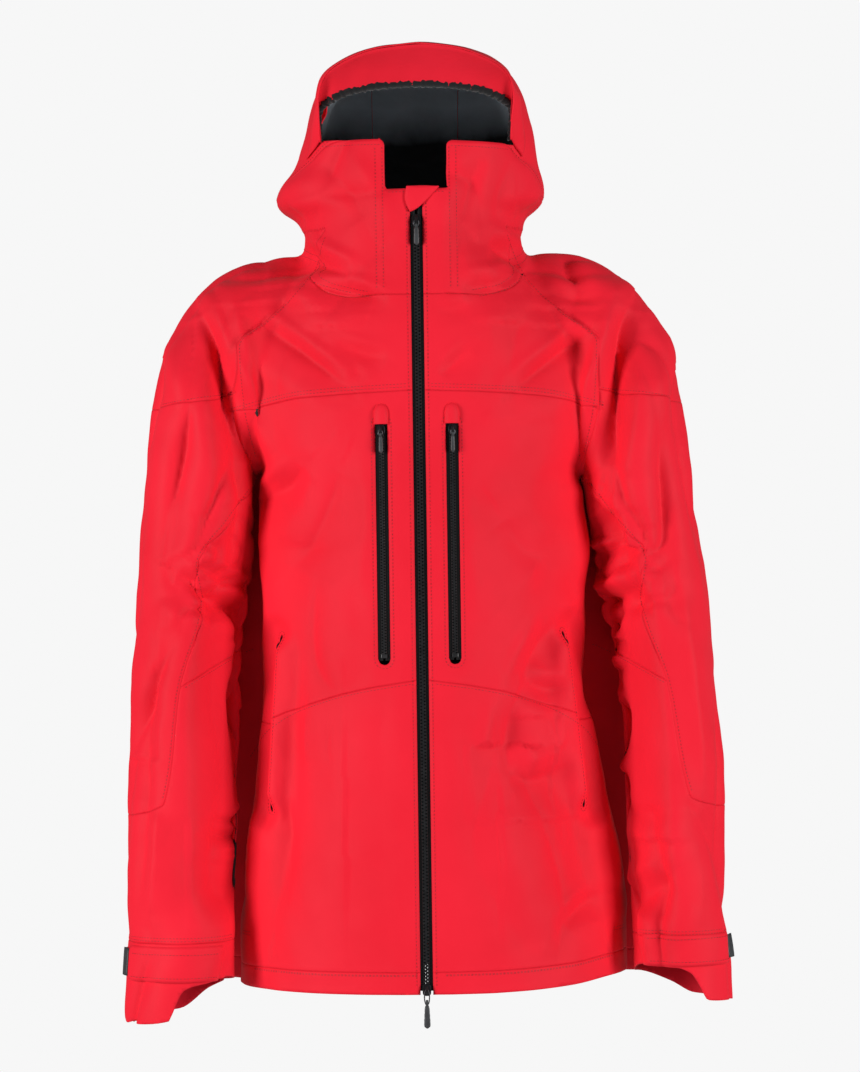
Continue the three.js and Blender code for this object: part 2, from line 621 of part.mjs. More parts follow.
function frontZip(group) {
  const low = new THREE.Vector3(0, -zipDepth(0), 0);
  const high = new THREE.Vector3(0, -zipDepth(ZIP_TOP), ZIP_TOP);
  const holder = placed(group, zipPlacement(low, high, new THREE.Vector3(0, -1, 0)));
  addMesh(holder, 'front_zip_left', zipSide(FRONT_ZIP, 1, ZIP_BOTTOM, ZIP_TOP), zipBlack);
  addMesh(holder, 'front_zip_right', zipSide(FRONT_ZIP, -1, ZIP_BOTTOM, ZIP_TOP), zipBlack);
  addMesh(holder, 'upper_slider', sliderGeometry(FRONT_ZIP), zipBlack).position.z = UPPER_SLIDER;
  addMesh(holder, 'upper_puller', pullerGeometry(6, 19, 6), rubberBlack).position.set(0, PULLER_AXIS, UPPER_SLIDER);
  const lower = sliderGeometry(FRONT_ZIP).rotateY(Math.PI);
  addMesh(holder, 'lower_slider', lower, zipBlack).position.z = LOWER_SLIDER;
  addMesh(holder, 'lower_puller', pullerGeometry(14, 24, 6), rubberBlack).position.set(0, PULLER_AXIS, LOWER_SLIDER);
}

const UPPER_SLIDER = 774;
const LOWER_SLIDER = 5;

// ---------------------------------------------------------------- small sewn pieces

/** The folded flap over the top of the front zip. */
function zipGarage(add) {
  const outline = [[-11, 784], [33, NOTCH_BOTTOM + 1], [-30, NOTCH_BOTTOM + 1], [-30, 800]];
  add('zip_garage', geometryOf(blockAlongY(outline, -zipDepth(795) - 3.4, -zipDepth(795) - 1.6)), SHELL_RED);
}

/** Cuff tabs with their rubber grips, and the loop patches that they stick to. */
function cuffClosures(add) {
  for (const [side, word] of [[1, 'left'], [-1, 'right']]) {
    const onCuff = (angle, row, offset) => sleevePoint(side, angle, row, offset);
    const rows = [CUFF_ROW_TOP, CUFF_ROW_LOW];
    // Angle 0 is the sleeve's outer side: the tab runs there over the front from the inner side.
    add(`cuff_tab_${word}`, strip(onCuff, steps(CUFF_TAB_ROOT, -0.3, 12), rows, 1, 2.8), SHELL_RED);
    add(`cuff_grip_${word}`, strip(onCuff, steps(-0.25, -0.05, 2), rows, 1, 4), rubberBlack);
    add(`cuff_patch_${word}`, strip(onCuff, steps(0.1, 0.7, 4), rows, 0.8, 1.8), rubberBlack);
  }
}

const CUFF_TAB_ROOT = -2.6;
const CUFF_ROW_TOP = 7.87;
const CUFF_ROW_LOW = 8.2;

/** The tape over the neck seam and the loop that the jacket hangs from. */
function neckTapeAndLoop(add) {
  const quarter = Math.PI / 2;
  const inside = (angle, z, offset) => bodyPoint(angle, z, offset);
  add('neck_tape', strip(inside, steps(quarter - 0.5, quarter + 0.5, 8), [756, 776], -5.6, -4.2), LINING_GREY);
  const { y, z, half, height, tape } = HANG_LOOP;
  const arch = (lift) => steps(-1, 1, 10).map((t) => [t * half, y + lift + 5 * t * t]);
  const outline = [...arch(0), ...reversed(arch(tape))];
  const ring = (level) => outline.map(([x, deep]) => new THREE.Vector3(x, deep, level));
  add('hang_loop', geometryOf(prism(outline, ring(z), ring(z + height))), BINDING_BLACK);
}

/** Flat pocket bags that hang behind the chest zips. */
function pocketBags(add) {
  for (const [side, word] of [[1, 'left'], [-1, 'right']]) {
    const from = -Math.PI / 2 + side * 0.14;
    const to = -Math.PI / 2 + side * 0.75;
    add(`pocket_bag_${word}`, strip(bodyPoint, steps(from, to, 6), steps(330, 560, 3), -11, -9.6), LINING_GREY);
  }
}

// ---------------------------------------------------------------- assembly

function addMesh(group, name, geometry, material) {
  const mesh = new THREE.Mesh(geometry, material.clone());
  mesh.name = name;
  group.add(mesh);
  return mesh;
}

const garment = new THREE.Group();
const add = (name, geometry, material) => addMesh(garment, name, geometry, material);

const cuts = [...straightSeams(), ...pocketPlaces.map(zipWindow), faceOpening(), frontSlit()];
const shell = seamedShell(cuts);
frontAndSleevePanels(shell, add);
backPanels(shell, add);
collarAndHood(shell, add);
hoodBrim(add);
frontZip(garment);
pocketZips(garment);
chestGarages(garment);
zipGarage(add);
cuffClosures(add);
neckTapeAndLoop(add);
pocketBags(add);

garment.position.set(0, -HANG_LOOP.y - HANG_LOOP.tape / 2, -HANG_LOOP.z);
const jacket = new THREE.Group();
jacket.add(garment);

export default jacket;
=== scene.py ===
"""Hooded hardshell jacket: fabric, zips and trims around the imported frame."""

import json
import math

import bmesh
import bpy
import numpy as np
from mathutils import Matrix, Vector
from mathutils.bvhtree import BVHTree


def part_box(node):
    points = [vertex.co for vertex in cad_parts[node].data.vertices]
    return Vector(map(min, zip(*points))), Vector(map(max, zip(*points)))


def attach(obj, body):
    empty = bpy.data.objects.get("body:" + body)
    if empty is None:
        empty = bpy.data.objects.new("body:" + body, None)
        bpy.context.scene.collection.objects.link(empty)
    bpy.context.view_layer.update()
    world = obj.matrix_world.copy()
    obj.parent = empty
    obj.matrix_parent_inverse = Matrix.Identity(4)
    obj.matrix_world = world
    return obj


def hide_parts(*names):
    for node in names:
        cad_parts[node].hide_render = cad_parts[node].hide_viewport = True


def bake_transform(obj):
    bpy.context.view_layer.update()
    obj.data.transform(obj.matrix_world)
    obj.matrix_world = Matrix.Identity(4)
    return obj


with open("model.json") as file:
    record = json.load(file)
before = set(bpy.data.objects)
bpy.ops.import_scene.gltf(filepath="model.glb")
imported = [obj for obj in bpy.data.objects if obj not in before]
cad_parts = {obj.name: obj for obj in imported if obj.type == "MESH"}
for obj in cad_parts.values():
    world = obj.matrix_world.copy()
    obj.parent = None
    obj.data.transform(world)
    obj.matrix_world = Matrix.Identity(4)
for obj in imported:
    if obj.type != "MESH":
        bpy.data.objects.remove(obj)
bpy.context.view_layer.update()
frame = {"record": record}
JOINTS = {joint["name"]: joint for joint in frame["record"]["behaviour"]["joints"]}
SIDES = ((1, "left"), (-1, "right"))     # the wearer's

# ------------------------------------------------------------------ driving dimensions, millimetres
# The garment is drawn with its hem at z = 0, its front towards -y and the wearer's left at +x.

LOOP_Y = 79.5            # the frame's origin, the hang loop, seen from the garment's
LOOP_Z = 758.0
VOXEL = 3.9              # the skin's mesh size
RELAX_STEPS = 14
RING_STEP = 8            # between the rings that the skin is drawn from
BODY_AROUND = 96
SLEEVE_AROUND = 48
NEAR_END = 0.22          # a cut this near an edge's end moves that end to it
FABRIC = 1.3             # laminate and lining together, a little thicker than cloth
FRONT_AT_HEM = 128.0     # how far the front zip lies before the middle at the hem
ZIP_LEAN = 0.03          # how much nearer it comes with each millimetre of height
BODY_POWER = 2.2         # the body's rings are superellipses of this power
HEM_SWING = 7.0          # the hem and the cuffs hang this far to the wearer's left
HEM_SWING_TOP = 350.0    # and above this height nothing swings

CAMERA_DISTANCE = 3500.0
CAMERA_X = 9.4
CAMERA_Z = 457.0
CAMERA_ROLL = 0.8        # degrees
FRAME_WIDTH = 860.0      # what the camera sees across at the front zip
SENSOR = 36.0

HEM_SEAM = 22.0
CUFF_SEAM = 50.0
BACK_YOKE_SEAM = 600.0
RAGLAN_TOP = 770.0
NOTCH_BOTTOM = 806.0
NOTCH_HALF = 31.0
NOTCH_ROUND = 6.0
COLLAR_TOP = 855.0
COLLAR_LEAN = 0.03       # its top falls this much for each millimetre to the wearer's left
HOOD_FRONT = -62.0       # the brim is sewn to the hood here
HOOD_STRIP_HALF = 46.0
SLIT_HALF = 6.3          # half of the black band that shows at the front zip
WINDOW_HALF = 6.4
SEAM_HALF = 1.5          # a seam's groove reaches this far to each side
SEAM_DEPTH = 0.4
SEAM_REACH = 16.0        # a seam's field says nothing beyond this distance
TOOTH_PITCH = 3.4

# Body sections: height, half width, depth behind the middle, depth ahead of it (0: the zip's line).
BODY_SECTIONS = [
    (-30, 191, 122, 0), (0, 190, 122, 0), (60, 187, 122, 0), (150, 174, 121, 0), (250, 157, 120, 0),
    (350, 147, 120, 0), (450, 148, 124, 0), (500, 154, 127, 0), (540, 167, 129, 0), (590, 180, 130, 0),
    (640, 182, 126, 0), (680, 164, 113, 0), (720, 138, 101, 0), (752, 114, 93, 0), (770, 113, 97, 0),
    (784, 115, 101, 0), (793, 130, 106, 0), (803, 138, 110, 0), (816, 136, 116, 0), (833, 127, 125, 104),
    (853, 122, 131, 105), (880, 115, 135, 105), (905, 109, 131, 100), (925, 99, 120, 92), (940, 84, 100, 80),
    (950, 61, 74, 58), (956, 22, 26, 20),
]

# Sleeve sections from inside the shoulder to below the hand: x, y, z, half across, half deep.
SHOULDER_SECTIONS = [
    (60, 4, 700, 50, 54), (95, 4, 690, 58, 60), (153, 3, 676, 68, 68), (194, 2, 645, 67, 72),
    (211, 0, 592, 61, 77),
]
SLEEVE_LEFT = [
    (225, -2, 510, 57, 78), (240, -8, 400, 55, 73), (250, -18, 300, 52, 67), (254, -28, 220, 51.5, 61),
    (256, -38, 130, 48.5, 54), (259, -46, 50, 50, 48), (262, -53, -45, 50, 46),
]
SLEEVE_RIGHT = [
    (226, -2, 517, 57, 78), (236, -8, 397, 57, 73), (245, -20, 290, 54.5, 67), (246.5, -34, 190, 56.5, 59),
    (249, -44, 95, 55.5, 52), (250, -50, 30, 55, 48), (253, -54, -38, 54, 46),
]
SLEEVES = {1: SLEEVE_LEFT, -1: SLEEVE_RIGHT}
SHOULDER_SHIFT = {1: (0, 0, 0, -6, -2), -1: (0, 0, 4, -4, 0)}   # x added to the shoulder's sections

# Where the front's outer edge lies, wider than the section because the front stands out a little: z, x.
FRONT_EDGE = {
    1: [(-30, 209), (56, 206), (96, 203), (135, 200), (196, 188), (256, 178), (295, 169), (355, 167),
        (395, 168), (435, 174), (500, 168), (540, 160)],
    -1: [(-30, 193), (56, 191), (96, 185), (135, 181), (196, 173), (256, 169), (295, 166), (355, 165),
         (435, 167), (500, 168), (540, 160)],
}
HOOD_SHIFT = [(740, -3), (773, -3.5), (795, -7), (815, -5), (833, 1), (873, 3), (956, 3)]      # z, x
HEM_EDGE = [(-230, 0), (60, 0), (100, 1), (148, 3.5), (190, 9), (230, 12)]                      # x, z

# Seams of one half, drawn as seen from the front or, at the neck, from the side.
# z, x:
ARM_EDGE = [(-10, 196), (50, 194), (150, 184), (250, 174), (352, 167), (480, 161), (516, 166), (594, 181),
            (652, 184), (681, 150), (722, 112), (770, 92)]
SLEEVE_SEAM = [(168, 340), (192, 265), (308, 245), (396, 220), (430, 224), (480, 191), (516, 166)]
# x, z:
CHEST_SEAM = [(0, 604), (119, 598), (196, 582)]
WAIST_SEAM = [(0, 314), (68, 303), (121, 287), (160, 264), (184, 232)]
UPPER_ARM_SEAM = [(180, 603), (275, 590)]
ELBOW_SEAM = [(150, 352), (176, 345), (245, 308)]
# y, z:
NECK_SEAM = [(-170, 700), (-100, 700), (-92, 703), (-60, 728), (-25, 745), (30, 757), (93, 768), (170, 773)]
HOOD_SEAM = [(-170, 870), (-84, 857), (-50, 830), (0, 802), (60, 812), (170, 824)]
# The cuffs' edges, x, z:
CUFF_FRONT = {1: [(185, 20), (245, 19), (260, 13), (268, 0), (276, -14), (310, -17)],
              -1: [(185, 15), (240, 8), (252, 3), (259, -10), (267, -27), (310, -32)]}
CUFF_BACK = {1: [(185, 15), (215, 8), (245, -5), (268, -17), (310, -20)],
             -1: [(185, 14), (200, 10), (232, -4), (262, -26), (310, -30)]}

# Folds of the cloth: a line (x, z), its half width and its depth; a ridge is negative.
FRONT_FOLDS = [
    ([(-163, 678), (-118, 643), (-73, 609)], 7, 3.4),
    ([(-112, 713), (-82, 707), (-45, 697)], 7, 3.6),
    ([(-202, 724), (-157, 731), (-105, 740)], 7, 3.2),
    ([(-182, 738), (-147, 747), (-110, 752)], 6, 2.6),
    ([(-224, 690), (-210, 651), (-191, 601), (-168, 530)], 9, 10),
    ([(-203, 700), (-190, 655), (-184, 612), (-172, 585)], 7, 4),
    ([(-83, 652), (-58, 642), (-31, 636)], 6, 1.8),
    ([(-68, 626), (-53, 614)], 5, 1.2),
    ([(172, 659), (137, 633), (99, 604)], 8, 3.6),
    ([(52, 645), (37, 631), (22, 618)], 6, 2.0),
    ([(18, 685), (35, 684), (53, 689)], 5, 1.2),
    ([(103, 729), (143, 731), (203, 720)], 8, 3.2),
    ([(118, 708), (153, 701), (188, 700)], 8, 2.6),
    ([(218, 690), (204, 640), (194, 600), (184, 520)], 10, 10),
    ([(230, 670), (221, 590), (208, 510)], 10, -3),
    ([(-160, 488), (-138, 505), (-118, 527)], 10, 3.6),
    ([(-128, 425), (-100, 475), (-80, 524)], 13, 3.4),
    ([(85, 472), (101, 447), (121, 429)], 14, 2.4),
    ([(-250, 424), (-207, 396), (-172, 378)], 8, 7),
    ([(-231, 436), (-196, 412), (-166, 402)], 6, 4),
    ([(155, 381), (188, 386), (216, 402)], 8, 7),
    ([(160, 346), (183, 354), (208, 380)], 7, 5),
    ([(183, 480), (197, 448), (175, 420)], 7, 5),
    ([(132, 368), (116, 338), (102, 310)], 9, 3.6),
    ([(102, 312), (129, 301), (156, 304)], 7, 3.2),
    ([(95, 290), (86, 252), (87, 214)], 11, 3.6),
    ([(87, 217), (116, 211), (152, 225)], 10, 3.4),
    ([(136, 226), (155, 151), (175, 60)], 15, 4.4),
    ([(165, 301), (176, 231), (187, 150)], 8, 3.0),
    ([(140, 64), (159, 79), (176, 93)], 7, 2.4),
    ([(-131, 285), (-137, 195), (-154, 65)], 13, 3.2),
    ([(-118, 280), (-122, 230)], 6, -1.6),
    ([(-181, 85), (-169, 155), (-163, 235)], 6, -2.4),
    ([(-213, 315), (-195, 286), (-181, 254)], 14, 6),
    ([(-214, 172), (-195, 170), (-180, 163)], 6, 4),
    ([(-218, 158), (-200, 154), (-186, 150)], 5, 3),
    ([(-267, 205), (-272, 137), (-278, 78)], 7, -3.4),
    ([(-276, 310), (-284, 245), (-280, 190)], 8, 3.6),
    ([(-232, 590), (-246, 500), (-258, 400)], 12, 2.6),
    ([(190, 188), (221, 203), (250, 224)], 11, 5),
    ([(208, 74), (224, 93), (244, 112)], 9, 4),
    ([(172, 256), (197, 265), (225, 278)], 11, 5),
    ([(266, 400), (274, 289), (282, 200)], 10, -2.6),
    ([(196, 350), (213, 335), (207, 306)], 9, 4),
    ([(246, 560), (256, 450), (262, 350)], 13, 3.0),
    ([(-69, 704), (-50, 700), (-30, 697)], 5, 1.6),
    ([(-122, 752), (-95, 734), (-68, 719)], 8, 5),
    ([(74, 752), (95, 745), (112, 733)], 7, 4.5),
    ([(44, 703), (73, 709), (105, 719)], 8, 3),
    ([(-97, 838), (-70, 806), (-52, 775)], 12, 2.4),
    ([(67, 836), (54, 802), (46, 772)], 9, 1.8),
    ([(98, 838), (86, 800), (82, 770)], 10, 2.2),
]
BACK_FOLDS = [
    ([(-150, 560), (-110, 470), (-90, 360)], 22, 5),
    ([(140, 570), (112, 480), (98, 350)], 22, 5),
    ([(-40, 330), (-60, 210), (-56, 60)], 18, 4),
    ([(60, 300), (70, 180), (84, 50)], 18, 4),
    ([(-215, 660), (-196, 590), (-176, 525)], 9, 7),
    ([(215, 660), (196, 590), (176, 525)], 9, 7),
    ([(-262, 430), (-225, 400), (-180, 386)], 12, 5),
    ([(262, 430), (225, 400), (180, 386)], 12, 5),
    ([(-262, 330), (-222, 322), (-186, 340)], 10, 4),
    ([(262, 330), (222, 322), (186, 340)], 10, 4),
    ([(-60, 872), (0, 852), (62, 874)], 12, 3),
    ([(-80, 800), (0, 786), (78, 802)], 9, 3),
]


# ------------------------------------------------------------------ small helpers

def smooth_table(at, knots, values):
    """Values of a smooth curve through a table, one column at a time, without overshoot."""
    knots = np.asarray(knots, float)
    values = np.asarray(values, float)
    steps = np.diff(knots)
    slopes = np.diff(values, axis=0) / steps[:, None]
    tangents = np.zeros_like(values)
    both = slopes[:-1] * slopes[1:]
    safe = np.where(both > 0, slopes[:-1] + slopes[1:], 1.0)
    tangents[1:-1] = np.where(both > 0, 2 * both / safe, 0.0)
    tangents[0] = slopes[0]
    tangents[-1] = slopes[-1]
    at = np.clip(at, knots[0], knots[-1])
    index = np.clip(np.searchsorted(knots, at, side="right") - 1, 0, len(steps) - 1)
    step = steps[index][:, None]
    t = ((at - knots[index])[:, None]) / step
    low, high = values[index], values[index + 1]
    return ((2 * t**3 - 3 * t**2 + 1) * low + (t**3 - 2 * t**2 + t) * step * tangents[index]
            + (-2 * t**3 + 3 * t**2) * high + (t**3 - t**2) * step * tangents[index + 1])


def graph(knots, at):
    """The height of a smooth line over a coordinate."""
    table = np.array(knots, float)
    return smooth_table(np.asarray(at, float), table[:, 0], table[:, 1:])[:, 0]


def ease(value, low, high):
    """0 below low, 1 above high, and a smooth step between."""
    t = np.clip((value - low) / (high - low), 0, 1)
    return t * t * (3 - 2 * t)


def smooth_line(knots, per_span):
    """Points of a Catmull-Rom curve through a few knots."""
    knots = np.asarray(knots, float)
    ends = np.concatenate([[2 * knots[0] - knots[1]], knots, [2 * knots[-1] - knots[-2]]])
    t = np.linspace(0, 1, per_span, endpoint=False)[:, None]
    spans = []
    for p0, p1, p2, p3 in zip(ends, ends[1:], ends[2:], ends[3:]):
        spans.append(0.5 * (2 * p1 + (p2 - p0) * t + (2 * p0 - 5 * p1 + 4 * p2 - p3) * t**2
                            + (3 * p1 - p0 - 3 * p2 + p3) * t**3))
    return np.concatenate(spans + [knots[-1:]])


def full_turn(count):
    return np.linspace(0, 2 * math.pi, count, endpoint=False)


def signed_power(values, power):
    """A power that keeps the sign; of a circle's cosine and sine it makes a superellipse."""
    return np.sign(values) * np.abs(values) ** power


def run_of(line):
    """How far along a line each of its points lies."""
    return np.concatenate([[0], np.cumsum(np.linalg.norm(np.diff(line, axis=0), axis=1))])


def even_steps(line, spacing):
    """The same line with its points a given distance apart."""
    line = np.asarray(line, float)
    run = run_of(line)
    at = np.arange(spacing / 2, run[-1], spacing)
    return np.stack([np.interp(at, run, line[:, axis]) for axis in range(line.shape[1])], 1)


def resample(line, count):
    """The same line with another number of points, evenly by their order."""
    old = np.linspace(0, 1, len(line))
    new = np.linspace(0, 1, count)
    return np.stack([np.interp(new, old, line[:, axis]) for axis in range(line.shape[1])], 1)


def unit(vectors):
    vectors = np.asarray(vectors, float)
    return vectors / np.maximum(np.linalg.norm(vectors, axis=-1, keepdims=True), 1e-9)


def waves(points, seed, longest, shortest, count):
    """Smooth noise between about -1 and 1: a sum of plane waves in seeded directions."""
    draw = np.random.default_rng(seed)
    total = np.zeros(len(points))
    for _ in range(count):
        direction = unit(draw.normal(size=3))
        length = math.exp(draw.uniform(math.log(shortest), math.log(longest)))
        total += np.sin(points @ direction * 2 * math.pi / length + draw.uniform(0, 2 * math.pi))
    return total / math.sqrt(count)


def swing(z):
    """How far the hem and the cuffs swing to +x at a height."""
    return HEM_SWING * np.clip(1 - np.maximum(z, 0) / HEM_SWING_TOP, 0, 1)


def zip_depth(z):
    return FRONT_AT_HEM - ZIP_LEAN * z


def sleeve_at(side, z):
    """A sleeve's middle, x and y, and its half sizes, across and deep, at a height."""
    table = np.array(SLEEVES[side][::-1], float)
    return [np.interp(z, table[:, 2], table[:, axis]) for axis in (0, 1, 3, 4)]


def hem_edge(points):
    """Height of the hem: it rises towards the sides of the front."""
    return graph(HEM_EDGE, points[:, 0]) * ease(points[:, 1], 60, -20)


def to_frame(points):
    """Garment millimetres to the frame's metres."""
    return (np.asarray(points, float) - np.array([0.0, LOOP_Y, LOOP_Z])) / 1000.0


def to_garment(points):
    return np.asarray(points, float) * 1000.0 + np.array([0.0, LOOP_Y, LOOP_Z])


def folded(points):
    """Distance from the garment's swinging middle, and which side: 1 is the wearer's left."""
    across = points[:, 0] - swing(points[:, 2])
    return np.abs(across), np.where(across >= 0, 1, -1)


# ------------------------------------------------------------------ mesh helpers

def new_object(name, points, faces, materials, smooth=True, indices=None):
    """A mesh object from garment points in millimetres."""
    mesh = bpy.data.meshes.new(name)
    mesh.from_pydata(to_frame(points).tolist(), [], [tuple(int(corner) for corner in face) for face in faces])
    for material in materials:
        mesh.materials.append(material)
    mesh.polygons.foreach_set("use_smooth", [smooth] * len(mesh.polygons))
    if indices is not None:
        mesh.polygons.foreach_set("material_index", indices)
    mesh.update()
    obj = bpy.data.objects.new(name, mesh)
    bpy.context.scene.collection.objects.link(obj)
    return obj


def ring_faces(rows, around, close_ends):
    """Quads that join rows of points round a tube."""
    faces = []
    for row in range(rows - 1):
        for side in range(around):
            a = row * around + side
            b = row * around + (side + 1) % around
            faces.append((a, b, b + around, a + around))
    if close_ends:
        faces.append(tuple(reversed(range(around))))
        faces.append(tuple(range((rows - 1) * around, rows * around)))
    return faces


def grid_faces(rows, columns):
    """Quads of a sheet whose points run along its rows."""
    faces = []
    for row in range(rows - 1):
        for column in range(columns - 1):
            a = row * columns + column
            faces.append((a, a + 1, a + 1 + columns, a + columns))
    return faces


def apply_modifiers(obj):
    """Bakes an object's modifiers into its mesh."""
    evaluated = obj.evaluated_get(bpy.context.evaluated_depsgraph_get())
    baked = bpy.data.meshes.new_from_object(evaluated)
    old = obj.data
    obj.modifiers.clear()
    obj.data = baked
    bpy.data.meshes.remove(old)


def thicken(obj, thickness, offset=-1.0):
    """Gives a sheet its thickness; the new inner face takes the second material."""
    shell = obj.modifiers.new("thickness", "SOLIDIFY")
    shell.thickness = thickness / 1000
    shell.offset = offset
    shell.material_offset = 1
    apply_modifiers(obj)


def skin_normals(points, triangles):
    """Each point's normal, weighted by the size of the triangles round it."""
    corners = points[triangles]
    faces = np.cross(corners[:, 1] - corners[:, 0], corners[:, 2] - corners[:, 0])
    total = np.zeros_like(points)
    for corner in range(3):
        for axis in range(3):
            total[:, axis] += np.bincount(triangles[:, corner], weights=faces[:, axis], minlength=len(points))
    return unit(total)


# ------------------------------------------------------------------ the camera

def make_camera():
    """A long lens in front of the chest, rolled a little."""
    data = bpy.data.cameras.new("camera")
    data.sensor_fit = "HORIZONTAL"
    data.sensor_width = SENSOR
    data.lens = SENSOR * CAMERA_DISTANCE / FRAME_WIDTH
    data.clip_end = 100
    camera = bpy.data.objects.new("camera", data)
    bpy.context.scene.collection.objects.link(camera)
    place = (CAMERA_X, -zip_depth(CAMERA_Z) - CAMERA_DISTANCE, CAMERA_Z)
    camera.location = to_frame([place])[0]
    camera.rotation_euler = (math.radians(90), math.radians(CAMERA_ROLL), 0)
    bpy.context.scene.camera = camera


make_camera()


# ------------------------------------------------------------------ materials

def srgb(red, green, blue):
    """A display colour from 0 to 255 as the linear one that shaders take."""
    def linear(value):
        value /= 255
        return value / 12.92 if value <= 0.04045 else ((value + 0.055) / 1.055) ** 2.4
    return (linear(red), linear(green), linear(blue), 1)


def principled(name, color, roughness):
    material = bpy.data.materials.new(name)
    material.use_nodes = True
    shader = material.node_tree.nodes["Principled BSDF"]
    shader.inputs["Base Color"].default_value = color
    shader.inputs["Roughness"].default_value = roughness
    return material, shader


def noise_node(material, scale, detail, stretch=(1, 1, 1)):
    """Noise over the object's own coordinates, in metres."""
    nodes, links = material.node_tree.nodes, material.node_tree.links
    coordinates = nodes.new("ShaderNodeTexCoord")
    mapping = nodes.new("ShaderNodeMapping")
    mapping.inputs["Scale"].default_value = stretch
    noise = nodes.new("ShaderNodeTexNoise")
    noise.inputs["Scale"].default_value = scale
    noise.inputs["Detail"].default_value = detail
    links.new(coordinates.outputs["Object"], mapping.inputs["Vector"])
    links.new(mapping.outputs["Vector"], noise.inputs["Vector"])
    return noise


def mottle(material, shader, dark, light, scale):
    """Lets the colour wander between two close shades."""
    nodes, links = material.node_tree.nodes, material.node_tree.links
    noise = noise_node(material, scale, 4)
    ramp = nodes.new("ShaderNodeValToRGB")
    ramp.color_ramp.elements[0].position = 0.3
    ramp.color_ramp.elements[0].color = dark
    ramp.color_ramp.elements[1].position = 0.7
    ramp.color_ramp.elements[1].color = light
    links.new(noise.outputs["Fac"], ramp.inputs["Fac"])
    links.new(ramp.outputs["Color"], shader.inputs["Base Color"])


def add_bump(material, shader, layers):
    """Chains bump nodes: each layer is a height output, its strength and its distance in metres."""
    nodes, links = material.node_tree.nodes, material.node_tree.links
    last = None
    for output, strength, distance in layers:
        bump = nodes.new("ShaderNodeBump")
        bump.inputs["Strength"].default_value = strength
        bump.inputs["Distance"].default_value = distance
        links.new(output, bump.inputs["Height"])
        if last is not None:
            links.new(last.outputs["Normal"], bump.inputs["Normal"])
        last = bump
    links.new(last.outputs["Normal"], shader.inputs["Normal"])


def weave(material, pitch):
    """Two crossed sets of threads, as a height."""
    nodes, links = material.node_tree.nodes, material.node_tree.links
    coordinates = nodes.new("ShaderNodeTexCoord")
    total = nodes.new("ShaderNodeMath")
    total.operation = "ADD"
    for slot, turn in enumerate((45, -45)):
        mapping = nodes.new("ShaderNodeMapping")
        mapping.inputs["Rotation"].default_value = (0, math.radians(turn), 0)
        wave = nodes.new("ShaderNodeTexWave")
        wave.inputs["Scale"].default_value = 0.32 / pitch
        wave.inputs["Distortion"].default_value = 0.6
        links.new(coordinates.outputs["Object"], mapping.inputs["Vector"])
        links.new(mapping.outputs["Vector"], wave.inputs["Vector"])
        links.new(wave.outputs["Fac"], total.inputs[slot])
    return total.outputs["Value"]


def fabric(name, dark, light, roughness, sheen, thread=0.0011):
    """Woven face fabric: mottled colour, a fine weave, small creases and a soft sheen."""
    material, shader = principled(name, light, roughness)
    shader.inputs["Sheen Weight"].default_value = sheen
    shader.inputs["Sheen Roughness"].default_value = 0.5
    shader.inputs["Specular IOR Level"].default_value = 0.12
    mottle(material, shader, dark, light, 9)
    creases = noise_node(material, 26, 4, (1, 1, 0.6))
    grain = noise_node(material, 900, 2)
    threads = weave(material, thread)
    add_bump(material, shader, [(creases.outputs["Fac"], 0.16, 0.004), (grain.outputs["Fac"], 0.10, 0.0006),
                                (threads, 0.12, 0.0002)])
    return material


def make_lining_painted_shade():
    """Lining with painted shade: light grey high in the hood, darkening to nearly black lower down, where no
    light reaches.
    """
    material, shader = principled("lining", srgb(70, 74, 78), 0.75)
    nodes, links = material.node_tree.nodes, material.node_tree.links
    coordinates = nodes.new("ShaderNodeTexCoord")
    split = nodes.new("ShaderNodeSeparateXYZ")
    noise = noise_node(material, 14, 4)
    wobble = nodes.new("ShaderNodeMath")
    wobble.operation = "MULTIPLY_ADD"
    wobble.inputs[1].default_value = 0.03
    # Painted shade by height: the lining is nearly black below the hood's upper part and light grey above it.
    ramp = nodes.new("ShaderNodeMapRange")
    ramp.inputs["From Min"].default_value = 0.130
    ramp.inputs["From Max"].default_value = 0.170
    shade = nodes.new("ShaderNodeValToRGB")
    shade.color_ramp.elements[0].color = srgb(16, 17, 18)
    shade.color_ramp.elements[1].color = srgb(212, 222, 230)
    links.new(coordinates.outputs["Object"], split.inputs["Vector"])
    links.new(noise.outputs["Fac"], wobble.inputs[0])
    links.new(split.outputs["Z"], wobble.inputs[2])
    links.new(wobble.outputs["Value"], ramp.inputs["Value"])
    links.new(ramp.outputs["Result"], shade.inputs["Fac"])
    links.new(shade.outputs["Color"], shader.inputs["Base Color"])
    grain = noise_node(material, 500, 3)
    add_bump(material, shader, [(grain.outputs["Fac"], 0.25, 0.0006)])
    return material


def plain(name, color, roughness, grain_scale, strength, metal=0.0):
    """Plastic, rubber or painted metal with a fine grain and worn patches."""
    material, shader = principled(name, color, roughness)
    shader.inputs["Metallic"].default_value = metal
    brighter = tuple(min(1.0, value * 1.8 + 0.004) for value in color[:3]) + (1,)
    mottle(material, shader, color, brighter, 160)
    grain = noise_node(material, grain_scale, 3)
    add_bump(material, shader, [(grain.outputs["Fac"], strength, 0.0004)])
    return material


